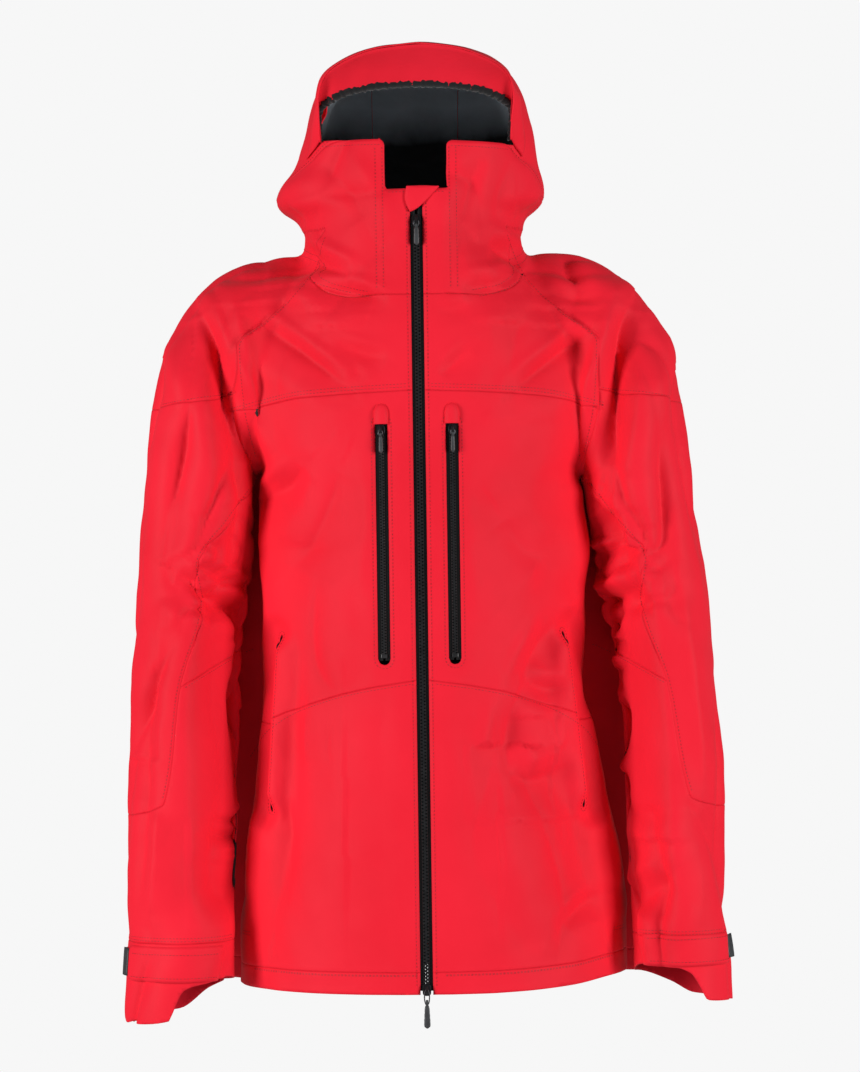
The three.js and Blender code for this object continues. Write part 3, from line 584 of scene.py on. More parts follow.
SHELL = fabric("shell_red", srgb(229, 27, 46), srgb(238, 32, 52), 0.62, 0.03)
# The shell's red darkened as painted shade, for the brim's underside and the cuffs' inner side, where shade
# falls.
FACING_PAINTED_SHADE = fabric("facing_red", srgb(214, 24, 42), srgb(222, 28, 48), 0.65, 0.03)
TRIM = fabric("trim_black", srgb(12, 12, 13), srgb(20, 20, 22), 0.7, 0.25, 0.0008)
LINING_PAINTED_SHADE = make_lining_painted_shade()
THREAD = plain("thread_red", srgb(150, 16, 30), 0.7, 2200, 0.3)
TAPE = fabric("zip_tape", srgb(8, 8, 9), srgb(14, 14, 15), 0.6, 0.03, 0.0007)
TEETH = plain("zip_teeth", srgb(15, 15, 17), 0.38, 1200, 0.15)
METAL = plain("slider_metal", srgb(34, 34, 37), 0.32, 900, 0.2, 0.7)
RUBBER = plain("puller_rubber", srgb(40, 41, 43), 0.5, 1400, 0.3)
HOOKS = plain("hook_pad", srgb(10, 10, 11), 0.85, 3000, 1.0)


# ------------------------------------------------------------------ the garment's skin

def body_rings(around, spacing):
    """Closed rings round the body and hood, every few millimetres of height."""
    table = np.array(BODY_SECTIONS, float)
    line = table[:, 3] == 0
    table[line, 3] = zip_depth(table[line, 0])
    heights = np.arange(table[0, 0], table[-1, 0], spacing)
    heights = np.append(heights, table[-1, 0])
    sizes = smooth_table(heights, table[:, 0], table[:, 1:])
    angle = full_turn(around)
    across = signed_power(np.cos(angle), 2 / BODY_POWER)
    deep = signed_power(np.sin(angle), 2 / BODY_POWER)
    rows = []
    shift = swing(heights) + graph(HOOD_SHIFT, heights) * ease(heights, 720, 760)
    for z, aside, (half, back, front) in zip(heights, shift, sizes):
        depth = np.where(deep < 0, front, back)
        rows.append(np.stack([aside + half * across, depth * deep, np.full(around, z)], 1))
    return np.concatenate(rows), len(rows)


def sleeve_rings(side, sections, around, spacing):
    """Closed rings along a sleeve, square to its centre line as seen from the front."""
    table = np.array(SHOULDER_SECTIONS + sections, float)
    table[:len(SHOULDER_SECTIONS), 0] += SHOULDER_SHIFT[side]
    lengths = np.hypot(np.diff(table[:, 0]), np.diff(table[:, 2]))
    run = np.concatenate([[0], np.cumsum(lengths)])
    at = np.linspace(0, run[-1], int(run[-1] / spacing))
    rows = smooth_table(at, run, table)
    ahead = unit(np.gradient(rows[:, [0, 2]], axis=0))
    angle = full_turn(around)
    points = []
    for (x, y, z, across, deep), (run_x, run_z) in zip(rows, ahead):
        out = across * np.cos(angle)
        points.append(np.stack([side * (x - run_z * out), y + deep * np.sin(angle), z + run_x * out], 1))
    return np.concatenate(points), len(rows)


def make_base():
    """One smooth closed skin round the body, the hood and both sleeves, as triangles."""
    points, rows = body_rings(BODY_AROUND, RING_STEP)
    all_points = [points]
    all_faces = ring_faces(rows, BODY_AROUND, True)
    start = len(points)
    for side, sections in SLEEVES.items():
        points, rows = sleeve_rings(side, sections, SLEEVE_AROUND, RING_STEP)
        for face in ring_faces(rows, SLEEVE_AROUND, True):
            corners = tuple(corner + start for corner in face)
            all_faces.append(tuple(reversed(corners)) if side > 0 else corners)
        all_points.append(points)
        start += len(points)
    base = new_object("base", np.concatenate(all_points), all_faces, [])
    union = base.modifiers.new("union", "REMESH")
    union.mode = "VOXEL"
    union.voxel_size = VOXEL / 1000
    apply_modifiers(base)
    relax = base.modifiers.new("relax", "SMOOTH")
    relax.factor = 0.5
    relax.iterations = RELAX_STEPS
    base.modifiers.new("triangles", "TRIANGULATE")
    apply_modifiers(base)
    flat = np.empty(len(base.data.vertices) * 3)
    base.data.vertices.foreach_get("co", flat)
    corners = np.empty(len(base.data.polygons) * 3, dtype=np.int64)
    base.data.polygons.foreach_get("vertices", corners)
    bpy.data.objects.remove(base)
    return to_garment(flat.reshape(-1, 3)), corners.reshape(-1, 3)


# How a triangle is split when one, two or three of its edges are cut: 0 to 2 are its corners and 3 to 5
# the new points on its edges, counted from the first cut edge.
SPLITS = {
    1: [(0, 3, 2), (3, 1, 2)],
    2: [(3, 1, 4), (0, 3, 4), (0, 4, 2)],
    3: [(0, 3, 5), (3, 1, 4), (5, 4, 2), (3, 4, 5)],
}


class Skin:
    """A triangle mesh that can be cut along the zero line of a field."""

    def __init__(self, points, triangles):
        self.points = points
        self.triangles = triangles
        self.fixed = np.zeros(len(points), bool)

    def edges(self):
        """The two ends of each edge, and the edges of each triangle."""
        pairs = np.sort(self.triangles[:, [[0, 1], [1, 2], [2, 0]]].reshape(-1, 2), axis=1)
        keys, inverse = np.unique(pairs[:, 0] * len(self.points) + pairs[:, 1], return_inverse=True)
        return keys // len(self.points), keys % len(self.points), inverse.reshape(-1, 3)

    def crossings(self, value, a, b):
        """Which edges a field changes sign on, how far along each, and the place there."""
        with np.errstate(invalid="ignore", divide="ignore"):
            crossing = value[a] * value[b] < 0
            share = np.where(crossing, value[a] / (value[a] - value[b]), 0.5)
        return crossing, share, self.points[a] + share[:, None] * (self.points[b] - self.points[a])

    def cut(self, field):
        """Puts edges where the field changes sign; it holds NaN where it says nothing."""
        value = field(self.points)
        a, b, of_triangle = self.edges()
        crossing, share, places = self.crossings(value, a, b)
        at_a = crossing & (share < NEAR_END)
        at_b = crossing & (share > 1 - NEAR_END)
        ends = np.concatenate([a[at_a], b[at_b]])
        places = np.concatenate([places[at_a], places[at_b]])
        order = np.argsort(-np.linalg.norm(places - self.points[ends], axis=1))
        order = order[~self.fixed[ends[order]]]
        self.points[ends[order]] = places[order]
        value[ends[order]] = 0
        self.fixed[ends[order]] = True
        crossing, _, added = self.crossings(value, a, b)
        fresh = np.full(len(a), -1)
        fresh[crossing] = len(self.points) + np.arange(crossing.sum())
        self.points = np.concatenate([self.points, added[crossing]])
        self.fixed = np.concatenate([self.fixed, np.ones(crossing.sum(), bool)])
        self.split(fresh[of_triangle])

    def split(self, middles):
        """Replaces each triangle by two, three or four, by the new points on its edges."""
        cut = middles >= 0
        first = np.argmax(cut & ~np.roll(cut, 1, axis=1), axis=1)
        turn = (first[:, None] + np.arange(3)) % 3
        both = np.concatenate([np.take_along_axis(self.triangles, turn, 1),
                               np.take_along_axis(middles, turn, 1)], axis=1)
        parts = [self.triangles[~cut.any(1)]]
        for number, pieces in SPLITS.items():
            some = both[cut.sum(1) == number]
            parts += [some[:, piece] for piece in pieces]
        self.triangles = np.concatenate(parts)

    def keep(self, mask):
        self.triangles = self.triangles[mask]

    def centres(self):
        return self.points[self.triangles].mean(1)


def in_sleeve(points):
    across, _ = folded(points)
    return (across > graph(ARM_EDGE, points[:, 2])) & (points[:, 2] < RAGLAN_TOP)


def slope_scaled(knots, along, value):
    """Turns a difference of heights into a distance from the sloping line."""
    step = 1.0
    slope = (graph(knots, along + step) - graph(knots, along - step)) / (2 * step)
    return value / np.sqrt(1 + slope**2)


def seam_field(knots, across_axis, along_axis, where):
    """Signed distance from a seam, or NaN away from it."""
    def field(points):
        across, _ = folded(points)
        columns = (across, points[:, 1], points[:, 2])
        along = columns[along_axis]
        value = slope_scaled(knots, along, columns[across_axis] - graph(knots, along))
        shown = where(points) & (np.abs(value) < SEAM_REACH)
        shown &= (along >= knots[0][0]) & (along <= knots[-1][0])
        return np.where(shown, value, np.nan)
    return field


def level_field(axis, level, where):
    """Signed distance from a straight seam at one place along an axis."""
    def field(points):
        value = points[:, axis] - level
        return np.where(where(points) & (np.abs(value) < SEAM_REACH), value, np.nan)
    return field


SLACK = 5.0              # a seam's cut runs on this far past the seam that it meets
FOLD_STEEP = 0.9         # a fold's two sides, against its drawn half width
FOLD_SOFT = 2.0
FOLD_STRENGTH = 2.7
WELT_LIFT = 9.5
WELT_REACH = 34
INNER_FALL = 30.0        # how far the inner side of a sleeve's front falls back
FALL_TOP = (500, 420)    # it starts to fall between these heights
FALL_BOTTOM = (60, 110)  # and comes forward again at the cuff between these
BACK_BEHIND_SLEEVE = 19.0    # how far the back reaches behind a hanging sleeve
FRONT_SPREAD = (540, 500)    # the front's and the back's sides spread below these heights
BACK_SPREAD = (556, 522)
FULL_SPREAD = 0.87       # the share of the half width where the cloth moves out in full


def on_body(points):
    across, _ = folded(points)
    return (across < graph(ARM_EDGE, points[:, 2]) + SLACK) & (points[:, 2] < 700)


def on_torso(points):
    return on_body(points) & (points[:, 2] < graph(NECK_SEAM, points[:, 1]) + SLACK)


def on_front(points):
    return on_torso(points) & (points[:, 1] < SLACK)


def on_back(points):
    return on_torso(points) & (points[:, 1] > -SLACK)


def on_neck(points):
    return (points[:, 2] > 690) & ~in_sleeve(points)


def on_sleeve(points):
    across, _ = folded(points)
    return across > graph(ARM_EDGE, points[:, 2]) - SLACK


def on_under_sleeve(points):
    across, _ = folded(points)
    return on_sleeve(points) & (across < graph(SLEEVE_SEAM, points[:, 2]) + SLACK)


def on_hood(points):
    return points[:, 2] > graph(HOOD_SEAM, points[:, 1]) - SLACK


def everywhere(points):
    return np.ones(len(points), bool)


def hem_seam_field(points):
    value = points[:, 2] - hem_edge(points) - HEM_SEAM
    return np.where(on_body(points) & (np.abs(value) < SEAM_REACH), value, np.nan)


SEAMS = {
    "armhole": seam_field(ARM_EDGE, 0, 2, everywhere),
    "chest": seam_field(CHEST_SEAM, 2, 0, on_front),
    "waist": seam_field(WAIST_SEAM, 2, 0, on_front),
    "back_yoke": level_field(2, BACK_YOKE_SEAM, on_back),
    "side": level_field(1, 0.0, lambda p: on_torso(p) & (p[:, 2] > HEM_SEAM - SLACK)),
    "hem": hem_seam_field,
    "neck": seam_field(NECK_SEAM, 2, 1, on_neck),
    "hood": seam_field(HOOD_SEAM, 2, 1, on_neck),
    "hood_strip_left": level_field(0, HOOD_STRIP_HALF, on_hood),
    "hood_strip_right": level_field(0, -HOOD_STRIP_HALF, on_hood),
    "upper_arm": seam_field(UPPER_ARM_SEAM, 2, 0, on_sleeve),
    "sleeve": seam_field(SLEEVE_SEAM, 0, 2, on_sleeve),
    "elbow": seam_field(ELBOW_SEAM, 2, 0, on_under_sleeve),
    "cuff": level_field(2, CUFF_SEAM, on_sleeve),
}


# ---------------------------------------------------------------- edges and openings

def hem_field(points):
    return np.where(in_sleeve(points), np.nan, points[:, 2] - hem_edge(points))


def cuff_edge(points):
    """Height of the cuff's edge: high at the front, low over the back of the hand."""
    across, side = folded(points)
    edge = np.empty(len(points))
    for one in (1, -1):
        mine = side == one
        _, middle, _, _ = sleeve_at(one, points[mine, 2])
        blend = ease(points[mine, 1] - middle, -14, 14)
        front = graph(CUFF_FRONT[one], across[mine])
        back = graph(CUFF_BACK[one], across[mine])
        edge[mine] = front + (back - front) * blend
    return edge


def cuff_field(points):
    return np.where(in_sleeve(points) & (points[:, 2] < 60), points[:, 2] - cuff_edge(points), np.nan)


def face_field(points):
    """Positive inside the face opening and the notch under the chin."""
    aside = NOTCH_HALF - np.abs(points[:, 0]) + NOTCH_ROUND
    top = COLLAR_TOP - COLLAR_LEAN * points[:, 0]
    above = points[:, 2] - top + NOTCH_ROUND
    corner = np.hypot(np.maximum(aside, 0), np.maximum(above, 0)) + np.minimum(np.maximum(aside, above), 0)
    hole = np.minimum(corner - NOTCH_ROUND, points[:, 2] - NOTCH_BOTTOM)
    hole = np.minimum(hole, HOOD_FRONT - points[:, 1])
    return np.where(points[:, 2] > 780, hole, np.nan)


def slit_field(points):
    """Positive along the front zip, where the cloth leaves its teeth bare."""
    shown = (points[:, 1] < -60) & (points[:, 2] < NOTCH_BOTTOM + 20)
    return np.where(shown, SLIT_HALF - np.abs(points[:, 0]), np.nan)


HINGE_LIFT = 4.0         # a puller hangs this far before its zip's plane


class ZipLine:
    """A zip's own frame: x across it, y inwards, z along it, read from its puller's hinge and slide."""

    def __init__(self, name, slide, swing_joint):
        hinge = JOINTS[swing_joint]
        self.name = name
        self.x = -unit(hinge["axis"])
        self.z = -unit(JOINTS[slide]["axis"])
        self.y = np.cross(self.z, self.x)
        origin = to_garment(hinge["pos_m"]) + HINGE_LIFT * self.y
        low, high = (to_garment(corner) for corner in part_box(name))
        self.origin = origin + self.z * (low[2] - origin[2]) / self.z[2]
        self.length = (high[2] - low[2]) / self.z[2]
        self.slider = self.height_of(swing_joint)

    def height_of(self, swing_joint):
        """How far up the zip a puller hangs."""
        return float((to_garment(JOINTS[swing_joint]["pos_m"]) - self.origin) @ self.z)

    def place(self, points):
        points = np.asarray(points, float)
        return self.origin + points @ np.stack([self.x, self.y, self.z])

    def local(self, points):
        return (points - self.origin) @ np.stack([self.x, self.y, self.z]).T

    def distance(self, points):
        """How far points lie from the zip's line, beyond its ends too."""
        local = self.local(points)
        past = np.maximum(np.maximum(-local[:, 2], local[:, 2] - self.length), 0)
        return np.hypot(local[:, 0], past), local

    def window(self, points):
        distance, local = self.distance(points)
        return np.where((np.abs(local[:, 1]) < 40) & (distance < 40), WINDOW_HALF - distance, np.nan)


FRONT_ZIP = ZipLine("front_zip_left", "upper_slider_slide", "upper_puller_swing")
POCKET_ZIPS = [ZipLine(f"{place}_{side}_zip", f"{place}_{side}_slide", f"{place}_{side}_swing")
               for place in ("chest", "hand") for side in ("left", "right")]


def lay_on_zips(skin):
    """Brings the cloth beside each zip to the zip's own plane."""
    body = ~in_sleeve(skin.points)
    distance, local = FRONT_ZIP.distance(skin.points)
    weight = (1 - ease(distance, 14, 44)) * (np.abs(local[:, 1]) < 30)
    skin.points -= (weight * local[:, 1])[:, None] * FRONT_ZIP.y
    for line in POCKET_ZIPS:
        distance, local = line.distance(skin.points)
        weight = (1 - ease(distance, 9, 30)) * (np.abs(local[:, 1]) < 30) * body
        skin.points -= (weight * local[:, 1])[:, None] * line.y


def turn_in(points, arm_share):
    """Lets the inner side of each sleeve's front fall back towards the torso."""
    x, y, z = points.T
    moved = points.copy()
    for one in (1, -1):
        middle, depth, half, deep = sleeve_at(one, z)
        inside = (middle - one * x) / half
        ahead = ease((depth - y) / deep, -0.35, 0.55)
        weight = arm_share * (one * x > 0) * ahead * ease(z, *FALL_TOP) * ease(z, *FALL_BOTTOM)
        moved[:, 1] += INNER_FALL * weight * ease(inside, 0.05, 1.0)
    return moved


def raise_welts(points, body):
    """Lifts the cloth ahead of each hand zip into a welt that hides the zip from the front."""
    moved = points.copy()
    for line in POCKET_ZIPS[2:]:
        local = line.local(points)
        ahead = -math.copysign(1, line.x[1]) * local[:, 0]
        past = np.maximum(-local[:, 2], local[:, 2] - line.length)
        weight = (ahead > 0) * (1 - ease(ahead, WINDOW_HALF, WELT_REACH)) * (1 - ease(past, -14, 10)) * body
        weight *= np.abs(local[:, 1]) < 40
        moved -= (WELT_LIFT * weight)[:, None] * line.y
    return moved


def spread_sides(points, body):
    """Widens the front's edges, and lets the back bulge out behind the hanging sleeves."""
    across, side = folded(points)
    moved = points.copy()
    _, y, z = points.T
    table = np.array(BODY_SECTIONS, float)
    half = np.interp(z, table[:, 0], table[:, 1])
    beside_zip = np.zeros(len(points))
    for line in POCKET_ZIPS[2:]:
        distance, _ = line.distance(points)
        beside_zip = np.maximum(beside_zip, 1 - ease(distance, 12, 30))
    for one in (1, -1):
        middle, _, half_sleeve, _ = sleeve_at(one, z)
        own_swing = one * swing(z)
        inner = middle - half_sleeve - own_swing
        front_room = graph(FRONT_EDGE[one], z) - own_swing - half
        front_room = np.maximum(front_room, 0) * ease(z, *FRONT_SPREAD)
        back_room = np.maximum(inner + BACK_BEHIND_SLEEVE - 0.9 * half, 0) * ease(z, *BACK_SPREAD)
        front_share = ease(y, -78, -22) * ease(y, 26, 6) * (1 - beside_zip)
        back_share = ease(y, 14, 58)
        mine = body & (side == one)
        share = np.minimum(across / half / FULL_SPREAD, 1) ** 3
        reach = (front_room * front_share + back_room * back_share) * share
        moved[mine, 0] += one * reach[mine]
    return moved


def fold_depths(points, normals):
    """How far the folds press the cloth in, point by point."""
    total = np.zeros(len(points))
    folds = [(-1, *fold) for fold in FRONT_FOLDS] + [(1, *fold) for fold in BACK_FOLDS]
    for way, knots, width, depth in folds:
        line = smooth_line(knots, 6)
        facing = ease(way * normals[:, 1], 0.0, 0.35)
        low, high = line.min(0) - 4 * width, line.max(0) + 4 * width
        near = (facing > 0) & (points[:, 0] > low[0]) & (points[:, 0] < high[0])
        near &= (points[:, 2] > low[1]) & (points[:, 2] < high[1])
        index = np.nonzero(near)[0]
        flat = points[index][:, [0, 2]]
        best = np.full(len(index), np.inf)
        along = np.zeros(len(index))
        above = np.zeros(len(index), bool)
        for step, (start, end) in enumerate(zip(line, line[1:])):
            run = end - start
            t = np.clip(((flat - start) @ run) / (run @ run), 0, 1)
            gap = np.linalg.norm(flat - start - t[:, None] * run, axis=1)
            closer = gap < best
            best[closer] = gap[closer]
            outward = np.array([-run[1], run[0]]) * (1 if run[0] > 0 else -1)
            above[closer] = ((flat - start) @ outward)[closer] > 0
            along[closer] = (step + t[closer]) / (len(line) - 1)
        taper = np.sin(np.pi * np.clip(along, 0.02, 0.98)) ** 0.6
        spread = best / np.where(above, FOLD_STEEP * width, FOLD_SOFT * width)
        valley = np.exp(-1.2 * (np.sqrt(spread**2 + 0.05) - 0.22))
        shoulder = 0.35 * np.exp(-((spread - 2.3) / 0.9) ** 2)
        total[index] += FOLD_STRENGTH * depth * taper * facing[index] * (valley - shoulder)
    return total


def creases(points, seed, stretch, longest, shortest, count):
    """Rounded ridges with sharp valleys between them: 0 in a valley, about 1 on a ridge."""
    return np.tanh(1.3 * np.abs(waves(points * stretch, seed, longest, shortest, count)))


def restless(points, on_arm):
    """How far the cloth's own unrest presses it in: long soft folds, with crumples at the elbows."""
    x, y, z = points.T
    lean = np.stack([x + 0.35 * np.sign(x) * z, y, z], 1)
    calm = ease(waves(points, 9, 330, 150, 8), -0.7, 0.9)
    arm = 11 * (0.72 - creases(lean, 3, (1, 1, 0.34), 130, 62, 7)) * (0.35 + 0.65 * calm)
    body = 5.0 * (0.55 - creases(points, 5, (1, 1, 0.5), 170, 80, 7)) * calm
    hood = 5.0 * (0.55 - creases(points, 6, (1, 0.8, 0.8), 120, 55, 7))
    high = ease(z, 755, 790)
    elbow = np.exp(-((z - 385) / 75) ** 2) * ease(250 - np.abs(x), -30, 30) * on_arm
    crumple = 9 * elbow * (0.5 - creases(points, 7, (0.7, 0.9, 1.2), 75, 34, 8))
    fine = 0.45 * waves(points, 4, 60, 30, 10)
    torso = body * (1 - high) + hood * high
    return on_arm * arm + (1 - on_arm) * torso + crumple + fine


def panel_labels(skin):
    """The name of the cut piece that each triangle belongs to."""
    centres = skin.centres()
    across, side = folded(centres)
    x, y, z = centres.T
    arm = in_sleeve(centres)
    neck = ~arm & (z > graph(NECK_SEAM, y))
    torso = ~arm & ~neck
    hood = neck & (z > graph(HOOD_SEAM, y))
    inner = across < graph(SLEEVE_SEAM, z)
    low = z < graph(ELBOW_SEAM, across)
    word = np.where(side > 0, "left", "right")
    rules = [
        ("hem_band", torso & (z < HEM_SEAM + hem_edge(centres)), False),
        ("front_yoke", torso & (y < 0) & (z > graph(CHEST_SEAM, across)), True),
        ("front_lower", torso & (y < 0) & (z < graph(WAIST_SEAM, across)), True),
        ("front_panel", torso & (y < 0), True),
        ("back_yoke", torso & (z > BACK_YOKE_SEAM), False),
        ("back_panel", torso, False),
        ("hood_centre", hood & (np.abs(x) < HOOD_STRIP_HALF), False),
        ("hood_side", hood, True),
        ("collar", neck & (y < 0), True),
        ("neck_gusset", neck, False),
        ("shoulder", arm & (z > graph(UPPER_ARM_SEAM, across)), True),
        ("cuff", arm & (z < CUFF_SEAM), True),
        ("forearm", arm & inner & low, True),
        ("sleeve_under", arm & inner, True),
        ("sleeve_outer", arm, True),
    ]
    names = np.full(len(centres), "", dtype=object)
    for name, mask, sided in rules:
        mask = mask & (names == "")
        names[mask] = [f"{name}_{one}" for one in word[mask]] if sided else name
    return names


def make_skin():
    """The whole cloth surface, cut to its edges and along its seams."""
    skin = Skin(*make_base())
    lay_on_zips(skin)
    windows = [lambda points, line=line: np.where(in_sleeve(points), np.nan, line.window(points))
               for line in POCKET_ZIPS]
    for field, sign in ((hem_field, 1), (cuff_field, 1), (face_field, -1), (slit_field, -1),
                        *((window, -1) for window in windows)):
        skin.cut(field)
        value = field(skin.centres())
        skin.keep(~(sign * value < 0))
    for field in SEAMS.values():
        for level in (0.0, SEAM_HALF, -SEAM_HALF):
            skin.cut(lambda points, field=field, level=level: field(points) - level)
    return skin


def shape_skin(skin, labels):
    """Moves the cloth: sleeves, folds and unrest, welts, the torso's sides and the seams' grooves."""
    groove = np.zeros(len(skin.points))
    for field in SEAMS.values():
        distance = np.abs(np.nan_to_num(field(skin.points), nan=99.0))
        groove = np.maximum(groove, 1 - ease(distance, 0, SEAM_HALF))
    arm_pieces = ("shoulder", "cuff", "forearm", "sleeve_under", "sleeve_outer")
    on_arm = np.array([name.rsplit("_", 1)[0] in arm_pieces for name in labels])
    body = np.zeros(len(skin.points), bool)
    body[skin.triangles[~on_arm].ravel()] = True
    arm = np.zeros(len(skin.points), bool)
    arm[skin.triangles[on_arm].ravel()] = True
    arm_share = np.where(arm & body, 0.5, arm.astype(float))
    flat = np.zeros(len(skin.points))
    for line in [FRONT_ZIP] + POCKET_ZIPS:
        distance, _ = line.distance(skin.points)
        flat = np.maximum(flat, 1 - ease(distance, 8, 26))
    skin.points = turn_in(skin.points, arm_share)
    normals = skin_normals(skin.points, skin.triangles)
    depth = fold_depths(skin.points, normals) * (1 - flat)
    drift = restless(skin.points, arm_share)
    skin.points = skin.points - (depth + drift * (1 - 0.85 * flat))[:, None] * normals
    skin.points = spread_sides(raise_welts(skin.points, body), body)
    normals = skin_normals(skin.points, skin.triangles)
    skin.points = skin.points - (SEAM_DEPTH * groove)[:, None] * normals


# ------------------------------------------------------------------ pieces, and how they ride


def ride_hood(obj):
    """Bakes a hood piece's placement into its mesh."""
    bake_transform(obj)


def settle(obj, nodes, body="root"):
    """Attaches a finished piece to the body that it rides on, or for the hood only bakes its placement, and
    hides the nodes that it stands for.
    """
    if body == "hood":
        ride_hood(obj)
    else:
        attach(obj, body)
    if nodes:
        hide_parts(*nodes)


def sew(name, points, shape, material, thickness, body="root", offset=0.0, flip=False):
    """A sheet of one material in rows and columns; it stands for the node that its name ends with."""
    faces = grid_faces(*shape)
    if flip:
        faces = [tuple(reversed(face)) for face in faces]
    obj = new_object(name, points, faces, [material, material])
    thicken(obj, thickness, offset)
    settle(obj, [name.split("_", 1)[1]], body)


def make_panels(skin, labels):
    """One object for each cut piece of cloth."""
    hood_pieces = ("hood_side_left", "hood_side_right", "hood_centre", "neck_gusset")
    for name in sorted(set(labels)):
        triangles = skin.triangles[labels == name]
        used, corners = np.unique(triangles, return_inverse=True)
        # The cuffs' inner side takes the red darkened as painted shade; every other inner side takes the
        # lining, painted nearly black as shade below the hood.
        inner = FACING_PAINTED_SHADE if name.startswith("cuff") else LINING_PAINTED_SHADE
        panel = new_object("cloth_" + name, skin.points[used], corners.reshape(-1, 3), [SHELL, inner])
        thicken(panel, FABRIC)
        settle(panel, [name], "hood" if name in hood_pieces else "root")


# ---------------------------------------------------------------- stitches

STITCH_LENGTH = 2.3
STITCH_PITCH = 3.6
STITCH_WIDTH = 0.55
STITCH_ROOT = 0.4        # how far a stitch goes into the cloth
STITCH_TOP = 0.35        # how far it stands out, and how far its ends slope in
STITCH_GAP = 14.0        # places further apart than this are in two rows
ZIP_STITCH = 10.0        # from a pocket zip's line to the stitches round it
SEED_AT = 300.0          # rows are thrown at the cloth from this far out
SEED_STEP = 3.0
SEED_REACH = 520.0
AHEAD = (0, 1, 0)
BEHIND = (0, -1, 0)
BOTH = (AHEAD, BEHIND)

# Rows along seams drawn as height over distance from the middle: the seam, how far above it each row
# runs, where the rows start and end, and which ways they are thrown.
LYING_ROWS = [
    (CHEST_SEAM, (3.2, 6.4), 12, 190, (AHEAD,)),
    ([(0, BACK_YOKE_SEAM), (190, BACK_YOKE_SEAM)], (3.2, 6.4), 0.1, 184, (BEHIND,)),
    (WAIST_SEAM, (-3.0,), 12, 186, (AHEAD,)),
    (UPPER_ARM_SEAM, (3.0,), 186, 266, BOTH),
    (ELBOW_SEAM, (-3.0,), 176, 243, (AHEAD,)),
    ([(185, CUFF_SEAM), (320, CUFF_SEAM)], (2.6, 5.6), 185, 320, BOTH),
]
# Rows along seams drawn as distance from the middle over height: the seam, how far outside it, and its ends.
UPRIGHT_ROWS = [(ARM_EDGE, -3.2, 540, 764), (SLEEVE_SEAM, 3.0, 196, 510)]
# Straight rows up the front: distance from the middle, low and high end.
STRAIGHT_ROWS = [
    (NOTCH_HALF + 2.5, 706, 849), (NOTCH_HALF + 9.5, 706, 849), (SLIT_HALF + 3.6, 8, NOTCH_BOTTOM - 6),
]
HEM_ROWS = (-3.4, -2.4)  # above the hem's seam


def stitch_blocks(line, normals):
    """A raised dash at every point of an evenly stepped line."""
    along = unit(np.gradient(line, axis=0))
    across = unit(np.cross(normals, along))
    points = []
    for one in (-1, 1):
        for two in (-1, 1):
            base = line + one * along * STITCH_LENGTH / 2 + two * across * STITCH_WIDTH / 2
            points.append(base - STITCH_ROOT * normals)
            points.append(base - one * along * STITCH_TOP + STITCH_TOP * normals)
    sides = [(0, 4, 5, 1), (4, 6, 7, 5), (6, 2, 3, 7), (2, 0, 1, 3), (1, 5, 7, 3)]
    faces = []
    for stitch in range(len(line)):
        faces += [tuple(8 * stitch + corner for corner in side) for side in sides]
    return np.stack(points, 1).reshape(-1, 3), faces


class Stitching:
    """Collects rows of stitches on one body."""

    def __init__(self, surface):
        self.surface = surface
        self.points = []
        self.faces = []
        self.count = 0

    def row(self, seeds, direction):
        """A row under seed points, which are thrown at the cloth along a direction."""
        hits = []
        for seed in seeds:
            place, normal, _, gap = self.surface.ray_cast(Vector(seed), Vector(direction))
            if place is not None and gap < SEED_REACH:
                facing = -1 if normal.dot(Vector(direction)) > 0 else 1
                hits.append((*place, *(normal * facing)))
        if len(hits) < 4:
            return
        hits = np.array(hits)
        jumps = np.linalg.norm(np.diff(hits[:, :3], axis=0), axis=1) > STITCH_GAP
        for run in np.split(hits, np.nonzero(jumps)[0] + 1):
            if len(run) > 3:
                self.on_line(run[:, :3], run[:, 3:])

    def on_line(self, line, normals, lift=0.0):
        stepped = even_steps(np.concatenate([line, normals], axis=1), STITCH_PITCH)
        if len(stepped) < 3:
            return
        normals = unit(stepped[:, 3:])
        points, faces = stitch_blocks(stepped[:, :3] + lift * normals, normals)
        self.points.append(points)
        self.faces += [tuple(corner + self.count for corner in face) for face in faces]
        self.count += len(points)

    def finish(self, name, body):
        if self.count:
            obj = new_object(name, np.concatenate(self.points), self.faces, [THREAD], smooth=False)
            settle(obj, [], body)


def seed_points(across, depth, z):
    """Points made from three coordinates, each a number or an array."""
    return np.stack(np.broadcast_arrays(across, depth, z), 1).astype(float)


def swinging_seeds(at, z, side, way):
    """Seeds before or behind the cloth, at distances from its swinging middle."""
    return seed_points(side * at + swing(z), -SEED_AT * way[1], z)


def zip_outline(line):
    """A long rounded outline round a pocket zip, before it in the zip's own frame."""
    turn = np.linspace(0, math.pi, 13)
    z = np.arange(0, line.length, 4.0)
    ones = np.ones(len(z))
    across = np.concatenate([ones, np.cos(turn), -ones, -np.cos(turn)])
    along = np.concatenate([z, line.length + ZIP_STITCH * np.sin(turn), z[::-1], -ZIP_STITCH * np.sin(turn)])
    return seed_points(ZIP_STITCH * across, -60.0, along)


